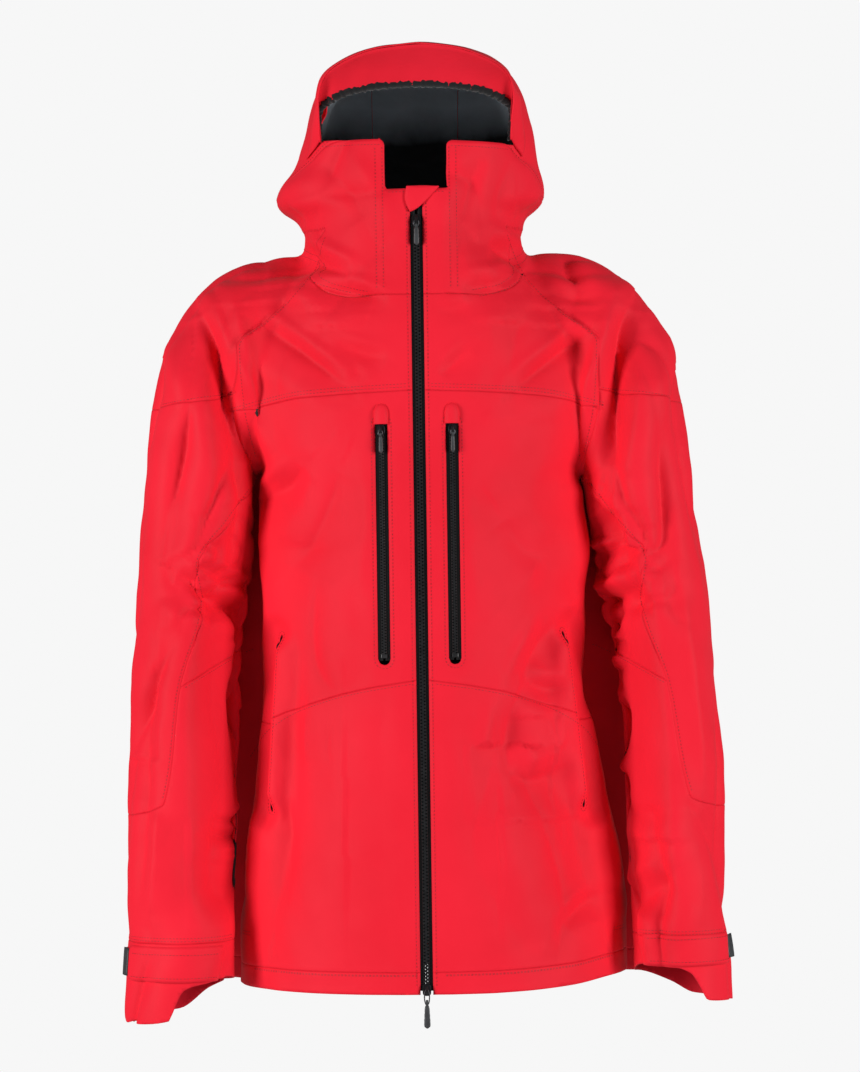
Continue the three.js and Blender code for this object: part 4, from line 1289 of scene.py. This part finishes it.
def stitch_half(cloth, hood, side):
    """The rows of stitches on one side of the jacket."""
    for knots, shifts, low, high, ways in LYING_ROWS:
        at = np.arange(low, high, SEED_STEP)
        for shift in shifts:
            for way in ways:
                cloth.row(swinging_seeds(at, graph(knots, at) + shift, side, way), way)
    for knots, shift, low, high in UPRIGHT_ROWS:
        z = np.arange(low, high, SEED_STEP)
        for way in BOTH:
            cloth.row(swinging_seeds(graph(knots, z) + shift, z, side, way), way)
    at = np.arange(12, 186, SEED_STEP)
    for shift in HEM_ROWS:
        for way in BOTH:
            row = swinging_seeds(at, np.full(len(at), HEM_SEAM + shift), side, way)
            row[:, 2] += graph(HEM_EDGE, row[:, 0]) * (way == AHEAD)
            cloth.row(row, way)
    for x, low, high in STRAIGHT_ROWS:
        cloth.row(seed_points(side * x, -SEED_AT, np.arange(low, high, SEED_STEP)), AHEAD)
    x = side * np.arange(NOTCH_HALF + 4, 96, SEED_STEP)
    cloth.row(seed_points(x, -SEED_AT, COLLAR_TOP - 5.5 - COLLAR_LEAN * x), AHEAD)
    x = side * np.arange(7, NOTCH_HALF, SEED_STEP)
    cloth.row(seed_points(x, -SEED_AT, NOTCH_BOTTOM - 3.5), AHEAD)
    y = np.arange(-98, 110, SEED_STEP)
    for shift in (-3.2, 3.2):
        cloth.row(seed_points(side * SEED_AT, y, graph(NECK_SEAM, y) + shift), (-side, 0, 0))
    y = np.arange(-80, 140, SEED_STEP)
    hood.row(seed_points(side * SEED_AT, y, graph(HOOD_SEAM, y) + 3.2), (-side, 0, 0))


def stitch_cloth(surface):
    """Every row of stitches on the cloth, and those on the hood in an object of their own."""
    cloth = Stitching(surface)
    hood = Stitching(surface)
    for side, _ in SIDES:
        stitch_half(cloth, hood, side)
    for line in POCKET_ZIPS:
        cloth.row(line.place(zip_outline(line)), tuple(line.y))
    cloth.finish("stitches_cloth", "root")
    hood.finish("stitches_hood", "hood")


# ------------------------------------------------------------------ the hood's peak

SWAY = 2.0               # the peak leans this far towards the wearer's left
RIM_AT = [0, 0.2, 0.38, 0.52, 0.62, 0.72, 0.86, 1]
RIM = [(0, -140, 946.5), (38, -137, 942.5), (68, -128, 933.5), (87, -114, 923.5), (96, -103, 911),
       (99, -95, 897), (98, -85, 878), (97, -73, 857)]
PEAK_COLUMNS = 121
PEAK_SIDE = 0.24         # the share of the rim that runs up each side
PEAK_PAST = 0.24         # its sewn edge runs this far below level at each end, in radians
PEAK_MIDDLE = (0, -60.0, 868.0)
ROOT_TOP = (0, -104, 911)    # the tunnel's line: its top, its corners and its low ends
ROOT_CORNER = (97.5, -67, 882)
ROOT_LOW = (96, -69, 857)
PEAK_SWELL = 5.0
FACING_SAG = 3.0
LIP = 1.2                # the turned edge of the rim


def rim_point(t):
    """The rim of the hood, t from -1 at the right collar corner over the peak to 1."""
    x, y, z = smooth_table(np.array([abs(t)]), RIM_AT, RIM)[0]
    return np.array([math.copysign(x, t) + SWAY * ease(z, 857, 930), y, z])


def root_point(t):
    """Where the facing ends inside the hood, under the black drawcord tunnel."""
    u = abs(t)
    top, corner, low = (np.array(place, float) for place in (ROOT_TOP, ROOT_CORNER, ROOT_LOW))
    if u > 1 - PEAK_SIDE:
        x, y, z = low + (corner - low) * (1 - u) / PEAK_SIDE
    else:
        b = u / (1 - PEAK_SIDE)
        x, y, z = top + (corner - top) * np.array([math.sin(b * math.pi / 2), b**2.2, b**2.1])
    return np.array([math.copysign(x, t) + SWAY * ease(z, 857, 930) * 0.8, y, z])


def hood_back_line(surface, t):
    """Where the peak is sewn on: a line over the hood just behind its cut front."""
    angle = t * (math.pi / 2 + PEAK_PAST)
    origin = Vector((0.0, HOOD_FRONT + 7.0, PEAK_MIDDLE[2]))
    ray = Vector((math.sin(angle), 0.0, math.cos(angle)))
    place, normal, _, _ = surface.ray_cast(origin, ray)
    if normal.dot(ray) < 0:
        normal = -normal
    return np.array(place + 0.9 * normal)


def make_peak(surface):
    """The stiff brim, from its seam on the hood to its turned rim."""
    steps = np.linspace(-1, 1, PEAK_COLUMNS)
    rim = np.array([rim_point(t) for t in steps])
    for _ in range(3):
        rim[1:-1] = (rim[:-2] + 2 * rim[1:-1] + rim[2:]) / 4
    root = np.array([root_point(t) for t in steps])
    back = np.array([hood_back_line(surface, t) for t in steps])
    outward = unit(rim - np.array(PEAK_MIDDLE))
    rows = []
    for share in np.linspace(0, 1, 12):
        swell = PEAK_SWELL * math.sin(math.pi * share) * (1 - np.abs(steps[:, None]) ** 6)
        rows.append(back + share * (rim - back) + swell * outward)
    ahead = unit(rim - root)
    rows.append(rim + 0.8 * ahead)
    inward = unit(np.cross(np.gradient(rim, axis=0), ahead))
    rows.append(rim + 0.6 * ahead + LIP * inward)
    outer = np.concatenate(rows)
    fade = np.repeat(np.sin(np.linspace(0, np.pi, len(rows))), PEAK_COLUMNS)
    unrest = 0.7 * waves(outer, 21, 60, 26, 8) * fade
    outer = outer + unrest[:, None] * np.tile(outward, (len(rows), 1))
    sew("cloth_hood_brim", outer, (len(rows), PEAK_COLUMNS), SHELL, 0.9, "hood", offset=-1.0)
    make_facing(rim, root, inward)
    make_tunnel(root, inward)


def make_facing(rim, root, inward):
    """The underside of the peak, in the shell's red darkened as painted shade, with its edge stitches."""
    rows = []
    for share in np.linspace(0, 1, 10):
        sag = FACING_SAG * math.sin(math.pi * share)
        rows.append(rim + (LIP + 0.1 - sag) * inward + share * (root - rim))
    points = np.concatenate(rows)
    points += (0.6 * waves(points, 22, 50, 18, 8))[:, None] * np.tile(inward, (len(rows), 1))
    sew("cloth_brim_facing", points, (len(rows), PEAK_COLUMNS), FACING_PAINTED_SHADE, 0.7, "hood")
    edge = Stitching(None)
    on_facing = rim + 0.18 * (root - rim) - 0.9 * inward
    edge.on_line(on_facing[8:-8], -inward[8:-8], 0.3)
    edge.finish("stitches_peak", "hood")


TUNNEL_HALF = (4.6, 2.6)     # across the cloth's edge, and square to the cloth


def make_tunnel(root, inward):
    """The puckered black drawcord tunnel round the opening."""
    columns = 12
    line = smooth_line(root[::4], 8)
    normals = unit(resample(inward, len(line)))
    along = unit(np.gradient(line, axis=0))
    across = unit(np.cross(along, normals))
    turn = full_turn(columns)
    run = run_of(line)
    gather = 1 + 0.13 * np.sin(run * 2 * math.pi / 7.5) + 0.10 * np.sin(run * 2 * math.pi / 4.6 + 1.3)
    points = []
    for place, side, out, size, at in zip(line, across, normals, gather, run):
        twist = 0.25 * math.sin(at / 9.0)
        wide = TUNNEL_HALF[0] * size * np.cos(turn + twist)
        deep = TUNNEL_HALF[1] * size * np.sin(turn + twist)
        points.append(place + wide[:, None] * side + deep[:, None] * out)
    points = np.concatenate(points)
    tunnel = new_object("cloth_hood_binding", points, ring_faces(len(line), columns, True), [TRIM])
    settle(tunnel, ["hood_binding"], "hood")


# ------------------------------------------------------------------ zips

class Parts:
    """Collects solids in a zip's own frame and makes one object of them."""

    def __init__(self):
        self.points = []
        self.faces = []
        self.indices = []
        self.count = 0

    def add(self, points, faces, index=0):
        self.points.append(np.asarray(points, float))
        self.faces += [tuple(int(corner) + self.count for corner in face) for face in faces]
        self.indices += [index] * len(faces)
        self.count += len(points)

    def moved(self, shift, flip=False):
        """Shifts everything, after a half turn in the zip's plane if asked."""
        for points in self.points:
            if flip:
                points *= np.array([-1.0, 1.0, -1.0])
            points += np.asarray(shift, float)
        return self

    def make(self, name, line, materials, smooth=False):
        points = line.place(np.concatenate(self.points))
        obj = new_object(name, points, self.faces, materials, smooth, self.indices)
        if smooth:
            obj.data.set_sharp_from_angle(angle=math.radians(38))
        return obj


def rounded_block(size, center, radius):
    """A box with rounded edges."""
    shape = bmesh.new()
    bmesh.ops.create_cube(shape, size=1.0)
    for vertex in shape.verts:
        vertex.co = Vector([vertex.co[axis] * size[axis] for axis in range(3)])
    bmesh.ops.bevel(shape, geom=list(shape.edges), offset=radius, segments=2, affect="EDGES", profile=0.5)
    points = np.array([vertex.co[:] for vertex in shape.verts]) + np.asarray(center, float)
    faces = [tuple(vertex.index for vertex in face.verts) for face in shape.faces]
    shape.free()
    return points, faces


def plate(outline, front, back, bevel):
    """An outline in the zip's plane, made into a plate with bevelled edges."""
    outline = np.asarray(outline, float)
    middle = outline.mean(0)
    spokes = outline - middle
    lengths = np.maximum(np.linalg.norm(spokes, axis=1), 1)
    inner = middle + spokes * (1 - bevel / lengths)[:, None]
    count = len(outline)
    layers = []
    for shape, y in ((inner, front), (outline, front + bevel), (outline, back - bevel), (inner, back)):
        layers.append(np.stack([shape[:, 0], np.full(count, y), shape[:, 1]], 1))
    return np.concatenate(layers), ring_faces(len(layers), count, True)


def tube(path, radius, closed=False, flatten=1.0, around=8):
    """A round bar along a path in a zip's own frame."""
    path = np.asarray(path, float)
    along = unit(np.roll(path, -1, 0) - np.roll(path, 1, 0)) if closed else unit(np.gradient(path, axis=0))
    guide = np.where(np.abs(along[:, [1]]) > 0.9, np.array([[1.0, 0, 0]]), np.array([[0, 1.0, 0]]))
    one = unit(np.cross(along, guide))
    two = np.cross(along, one)
    turn = full_turn(around)
    ring = np.cos(turn)[None, :, None] * one[:, None] * radius
    ring = ring + np.sin(turn)[None, :, None] * two[:, None] * radius * flatten
    points = (path[:, None] + ring).reshape(-1, 3)
    faces = ring_faces(len(path), around, not closed)
    if closed:
        last = (len(path) - 1) * around
        for side in range(around):
            following = (side + 1) % around
            faces.append((last + side, last + following, following, side))
    return points, faces


def add_teeth(parts, side, low, high, half, pitch):
    """Moulded teeth along one edge of a tape, each a block with a narrower head."""
    z = np.arange(low, high, pitch) + (pitch / 2 if side > 0 else 0)
    reach = half * 0.28
    corners = []
    for x, tall in ((side * half, 0.36), (-side * reach, 0.30)):
        for y in (-0.3, 1.9):
            for up in (-1, 1):
                corners.append((x, y, up * pitch * tall))
    head = []
    for x, tall in ((side * (half - 0.45), 0.24), (-side * (reach - 0.3), 0.2)):
        for up in (-1, 1):
            head.append((x, -0.95, up * pitch * tall))
    shape = np.array(corners + head)
    faces = [(0, 1, 3, 2), (4, 6, 7, 5), (2, 3, 7, 6), (0, 2, 6, 4), (1, 5, 7, 3),
             (0, 4, 10, 8), (1, 9, 11, 5), (0, 8, 9, 1), (4, 5, 11, 10), (8, 10, 11, 9)]
    if side < 0:
        faces = [tuple(reversed(face)) for face in faces]
    for height in z:
        parts.add(shape + np.array([0, 0, height]), faces, 1)


def add_tape(parts, side, low, high, inner, outer):
    """A woven tape with a thicker beaded edge."""
    z = np.arange(low, high + 1, 6.0)
    z[-1] = high
    section = np.array([(inner, 0.75), (inner + 0.9, 0.35), (inner + 1.8, 0.7), (outer, 0.8), (outer, 1.7),
                        (inner + 1.2, 1.7), (inner, 1.35)])
    section[:, 0] *= side
    count = len(section)
    points = np.concatenate([np.stack([section[:, 0], section[:, 1], np.full(count, one)], 1) for one in z])
    faces = ring_faces(len(z), count, True)
    if side > 0:
        faces = [tuple(reversed(face)) for face in faces]
    parts.add(points, faces, 0)


def slider_parts(width, height):
    """A slider's two plates, its side walls and the bridge that holds the puller."""
    turn = full_turn(32)
    taper = 1 + 0.16 * np.sin(turn)
    outline = np.stack([width / 2 * taper * signed_power(np.cos(turn), 0.7),
                        height / 2 * signed_power(np.sin(turn), 0.75)], 1)
    parts = Parts()
    parts.add(*plate(outline, -2.3, -0.9, 0.4))
    parts.add(*plate(outline, 3.0, 4.0, 0.3))
    for side in (-1, 1):
        place = (side * (width / 2 - 0.6), -0.4, -height * 0.1)
        parts.add(*rounded_block((0.9, 3.0, height * 0.62), place, 0.25))
    arch = [(0, -2.0, height * 0.36), (0, -3.4, height * 0.34), (0, -4.5, height * 0.2), (0, -4.9, 0),
            (0, -4.5, -height * 0.2), (0, -3.4, -height * 0.32), (0, -2.0, -height * 0.34)]
    parts.add(*tube(smooth_line(arch, 4), 1.1, flatten=0.55))
    return parts


def puller_parts(bail, grip, width, flare):
    """A wire ring, a short cord and a ribbed rubber grip, hanging from the hinge."""
    parts = Parts()
    turn = full_turn(20)
    reach = bail * 0.5 + 0.9
    ring = [(width * 0.42 * math.cos(t), -HINGE_LIFT, -bail * 0.5 + reach * math.sin(t)) for t in turn]
    parts.add(*tube(ring, 0.62, closed=True))
    cord = (width * 0.42, 1.5, bail * 0.5 + 2.5)
    parts.add(*rounded_block(cord, (0, -HINGE_LIFT, -bail - 0.4), 0.45), index=1)
    rows, count = 15, 16
    around = full_turn(count)
    points = []
    for share in np.linspace(0, 1, rows):
        rib = 0.05 * math.sin(share * 5 * 2 * math.pi) if 0.15 < share < 0.85 else 0
        cap = math.sqrt(max(1 - (2 * share - 1) ** 8, 0.05))
        half = width / 2 * (0.72 + flare * share + rib) * cap
        deep = 1.5 * (1 + rib) * cap
        x = half * signed_power(np.cos(around), 0.6)
        y = -HINGE_LIFT + deep * signed_power(np.sin(around), 0.6)
        points.append(np.stack([x, y, np.full(count, -bail - share * grip)], 1))
    faces = [tuple(reversed(face)) for face in ring_faces(rows, count, True)]
    parts.add(np.concatenate(points), faces, 1)
    return parts


def add_slider(line, place, at, size, grip, flip=False):
    """A slider and its puller, parked at a height on a zip."""
    slider = slider_parts(*size).moved((0, 0, at), flip)
    obj = slider.make(f"fine_{place}_slider", line, [METAL], smooth=True)
    settle(obj, [f"{place}_slider"], f"{place}_slider")
    puller = puller_parts(*grip).moved((0, 0, at))
    obj = puller.make(f"fine_{place}_puller", line, [METAL, RUBBER], smooth=True)
    settle(obj, [f"{place}_puller"], f"{place}_puller")


def make_front_zip():
    """The front zip's two halves, and its two sliders head to head."""
    for side, word in SIDES:
        parts = Parts()
        add_tape(parts, side, 0, FRONT_ZIP.length, 1.4, 12.5)
        add_teeth(parts, side, 6, FRONT_ZIP.slider - 4, 3.1, TOOTH_PITCH)
        parts.add(*rounded_block((2.2, 3.4, 5.0), (side * 2.0, 0.6, 2.6), 0.5), index=1)
        obj = parts.make(f"fine_front_zip_{word}", FRONT_ZIP, [TAPE, TEETH])
        settle(obj, [f"front_zip_{word}"])
    add_slider(FRONT_ZIP, "upper", FRONT_ZIP.slider, (8.4, 12), (6, 19, 6, 0.25))
    lower_at = FRONT_ZIP.height_of("lower_puller_swing")
    add_slider(FRONT_ZIP, "lower", lower_at, (8.4, 12), (14, 24, 6, 0.45), flip=True)


def make_pocket_zips():
    """Both chest and both hand zips, each with its tapes, teeth, stop, slider and puller."""
    for line in POCKET_ZIPS:
        place = line.name.rsplit("_", 1)[0]
        parts = Parts()
        for side in (1, -1):
            add_tape(parts, side, -2, line.length + 2, 1.2, 10.5)
            add_teeth(parts, side, 5, line.slider - 3, 2.5, TOOTH_PITCH * 0.85)
        parts.add(*rounded_block((6.4, 2.6, 4.2), (0, 0.4, 2.6), 0.6), index=1)
        obj = parts.make("fine_" + line.name, line, [TAPE, TEETH])
        settle(obj, [line.name])
        add_slider(line, place, line.slider, (7.6, 11), (5, 18, 5, 0.2))


# ------------------------------------------------------------------ small sewn pieces

GARAGE_HALF = 7.2
GARAGE_LONG = 21.0
GARAGE_HIGH = 4.4
GARAGE_STRAIGHT = 0.45   # the share of its length before its end rounds off


def make_garages():
    """Domed cloth covers over the parked chest sliders."""
    for line in POCKET_ZIPS[:2]:
        rows, columns = 13, 17
        points = []
        for share in np.linspace(0, 1, rows):
            past = max(share - GARAGE_STRAIGHT, 0) / (1 - GARAGE_STRAIGHT)
            end = math.sqrt(max(1 - past**2, 0))
            for turn in np.linspace(0, math.pi, columns):
                x = GARAGE_HALF * end * math.cos(turn)
                y = 0.6 - GARAGE_HIGH * end**0.7 * math.sin(turn) ** 0.8
                points.append((x, y, line.length - 0.5 + GARAGE_LONG * share))
        name = "cloth_" + line.name.replace("zip", "garage")
        sew(name, line.place(points), (rows, columns), SHELL, 0.8, flip=True)


def make_zip_garage():
    """The folded flap that hides the top of the front zip."""
    lower = smooth_line([(-9, 808), (-11, 796), (-7, 784), (-4, 783), (4, 788), (14, 798), (23, 807.5)], 6)
    rows, columns = 9, len(lower)
    upper = resample(smooth_line([(-9, 808), (7, 808.4), (23, 807.5)], 18), columns)
    points = []
    for share in np.linspace(0, 1, rows):
        for one, two in zip(upper, lower):
            x, z = one + share * (two - one)
            lift = 3.2 - 1.2 * share + 0.9 * math.sin(math.pi * share)
            points.append((x, -zip_depth(z) - lift, z))
    sew("cloth_zip_garage", points, (rows, columns), SHELL, 1.1)


def cuff_band(surface, side, angles, low, high, lift, rows):
    """Points and normals of a band wrapped on the cuff; angle 0 is its outer side.

    The heights of its lower and upper edge are one number each, or one for each angle."""
    columns = len(angles)
    low, high = (np.broadcast_to(edge, columns) for edge in (low, high))
    points, normals = [], []
    for share in np.linspace(0, 1, rows):
        for angle, bottom, top in zip(angles, low, high):
            z = bottom + (top - bottom) * share
            x, y, _, _ = sleeve_at(side, z)
            center = Vector((side * x, y, z))
            way = Vector((side * math.cos(angle), math.sin(angle), 0))
            place, normal, _, _ = surface.ray_cast(center + way * 140, -way, 200)
            if place is None:
                place = center + way * 52
                normal = way
            if normal.dot(way) < 0:
                normal = -normal
            points.append(place)
            normals.append(normal)
    points = np.array(points)
    grid = unit(np.array(normals)).reshape(rows, columns, 3)
    for _ in range(6):
        grid[:, 1:-1] = unit(grid[:, :-2] + grid[:, 1:-1] * 2 + grid[:, 2:])
    return points + lift * grid.reshape(-1, 3), grid.reshape(-1, 3)


TAB_START = -2.5         # angles round the cuff
TAB_END = -0.34
TAB_EDGES = {1: (21.0, 52.0), -1: (12.0, 47.0)}     # heights of its lower and upper edge
TAB_ROUND = 6.5          # its end's corners, and the share of its length that they take
TAB_ROUND_SHARE = 0.07
TAB_COLUMNS = 56


def make_cuff_closures(surface):
    """Tabs across the front of the cuffs, with their rubber ends and hook-and-loop pads."""
    for side, word in SIDES:
        low, high = TAB_EDGES[side]
        body = f"cuff_tab_{word}"
        past = np.maximum(np.linspace(0, 1, TAB_COLUMNS) - 1 + TAB_ROUND_SHARE, 0) / TAB_ROUND_SHARE
        past = np.minimum(past, 1)
        rounded = TAB_ROUND * (1 - np.sqrt(np.maximum(1 - past**2, 0)))
        angles = np.linspace(TAB_START, TAB_END, TAB_COLUMNS)
        tab, _ = cuff_band(surface, side, angles, low + rounded, high - rounded, 2.0, 11)
        sew(f"cloth_{body}", tab, (11, TAB_COLUMNS), SHELL, 1.5, body)
        stitches = Stitching(None)
        for height in (low + 4, low + 27):
            angles = np.linspace(TAB_START + 0.1, TAB_END - 0.12, 60)
            stitches.on_line(*cuff_band(surface, side, angles, height, height, 2.9, 1))
        stitches.finish(f"stitches_tab_{word}", body)
        angles = np.linspace(TAB_END - 0.02, TAB_END + 0.26, 12)
        grip, _ = cuff_band(surface, side, angles, low + 4, high - 4, 2.9, 9)
        sew(f"fine_cuff_grip_{word}", grip, (9, 12), RUBBER, 2.2, body)
        patch, _ = cuff_band(surface, side, np.linspace(0.1, 0.7, 16), low + 5, high - 5, 0.9, 7)
        sew(f"fine_cuff_patch_{word}", patch, (7, 16), HOOKS, 1.2)


def make_hang_loop():
    """The tape that the jacket hangs from, with its sewn ends."""
    low, high = (to_garment(corner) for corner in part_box("hang_loop"))
    half = (high[0] - low[0]) / 2
    t = np.linspace(-1, 1, 41)
    middle = (low[1] + 1.0) + 5 * t**2
    rows = []
    for z in np.linspace(low[2], high[2], 5):
        rows.append(np.stack([half * t, middle, np.full(len(t), z)], 1))
    sew("cloth_hang_loop", np.concatenate(rows), (len(rows), len(t)), TRIM, 1.8)


def inner_sheet(name, surface, angles, heights, gap):
    """A sheet of lining that hangs a little inside the cloth."""
    points = []
    for z in heights:
        for angle in angles:
            way = Vector((math.cos(angle), math.sin(angle), 0))
            place, _, _, _ = surface.ray_cast(Vector((0, 0, z)), way, 260)
            if place is None:
                place = Vector((0, 0, z)) + way * 120
            points.append(place - gap * way)
    points = np.array(points).reshape(len(heights), len(angles), 3)
    for _ in range(4):
        points[1:-1] = (points[:-2] + 2 * points[1:-1] + points[2:]) / 4
        points[:, 1:-1] = (points[:, :-2] + 2 * points[:, 1:-1] + points[:, 2:]) / 4
    # The lining's colour is painted shade, nearly black at these heights.
    sew(name, points.reshape(-1, 3), (len(heights), len(angles)), LINING_PAINTED_SHADE, 0.9)


def make_inner_pieces(surface):
    """The tape behind the neck and the bags behind the chest zips."""
    quarter = math.pi / 2
    angles = np.linspace(quarter - 0.5, quarter + 0.5, 30)
    inner_sheet("cloth_neck_tape", surface, angles, np.linspace(757, 776, 6), 3.6)
    for side, word in SIDES:
        angles = -quarter + side * np.linspace(0.14, 0.75, 20)
        inner_sheet(f"cloth_pocket_bag_{word}", surface, angles, np.linspace(330, 560, 30), 10)


# ------------------------------------------------------------------ floor and light

FLOOR_LEVEL = -620.0     # the jacket hangs well above it
FLOOR_RADIUS = 1.3
WORLD_GLOW = 0.15
LIGHTS = {"key": ((-2.3, -1.75, -0.15), 69), "fill": ((2.3, -1.75, -0.15), 60)}     # place and power
LIGHT_SIZE = (0.7, 1.4)
LIGHT_TARGET = (0, 0, -0.4)


def make_stage():
    """A pale floor disc under the hanging jacket."""
    mesh = bpy.data.meshes.new("floor")
    turn = [2 * math.pi * corner / 64 for corner in range(64)]
    level = (FLOOR_LEVEL - LOOP_Z) / 1000
    mesh.from_pydata([(FLOOR_RADIUS * math.cos(t), FLOOR_RADIUS * math.sin(t), level) for t in turn], [],
                     [tuple(range(64))])
    floor = bpy.data.objects.new("floor", mesh)
    bpy.context.scene.collection.objects.link(floor)
    pale, _ = principled("floor_pale", srgb(247, 247, 247), 0.9)
    mesh.materials.append(pale)


def area_light(name, place, power):
    data = bpy.data.lights.new(name, "AREA")
    data.shape = "RECTANGLE"
    data.size, data.size_y = LIGHT_SIZE
    data.energy = power
    light = bpy.data.objects.new(name, data)
    bpy.context.scene.collection.objects.link(light)
    light.location = place
    light.rotation_euler = (Vector(LIGHT_TARGET) - Vector(place)).to_track_quat("-Z", "Y").to_euler()


def make_lights():
    """A plain pale background that lights less than it shows, and a lamp on each side."""
    world = bpy.data.worlds.new("studio")
    bpy.context.scene.world = world
    world.use_nodes = True
    nodes, links = world.node_tree.nodes, world.node_tree.links
    seen = nodes["Background"]
    glow = nodes.new("ShaderNodeBackground")
    for background, strength in ((seen, 1.0), (glow, WORLD_GLOW)):
        background.inputs["Color"].default_value = srgb(247, 247, 247)
        background.inputs["Strength"].default_value = strength
    mix = nodes.new("ShaderNodeMixShader")
    path = nodes.new("ShaderNodeLightPath")
    links.new(path.outputs["Is Camera Ray"], mix.inputs["Fac"])
    links.new(glow.outputs["Background"], mix.inputs[1])
    links.new(seen.outputs["Background"], mix.inputs[2])
    links.new(mix.outputs["Shader"], nodes["World Output"].inputs["Surface"])
    for name, (place, power) in LIGHTS.items():
        area_light(name, place, power)
    bpy.context.scene.view_settings.view_transform = "Standard"


# ------------------------------------------------------------------ assembly

cloth_skin = make_skin()
cut_names = panel_labels(cloth_skin)
shape_skin(cloth_skin, cut_names)
make_panels(cloth_skin, cut_names)
outer_surface = BVHTree.FromPolygons(cloth_skin.points.tolist(), cloth_skin.triangles.tolist())
make_peak(outer_surface)
stitch_cloth(outer_surface)
make_front_zip()
make_pocket_zips()
make_garages()
make_zip_garage()
make_cuff_closures(outer_surface)
make_hang_loop()
make_inner_pieces(outer_surface)
make_stage()
make_lights()
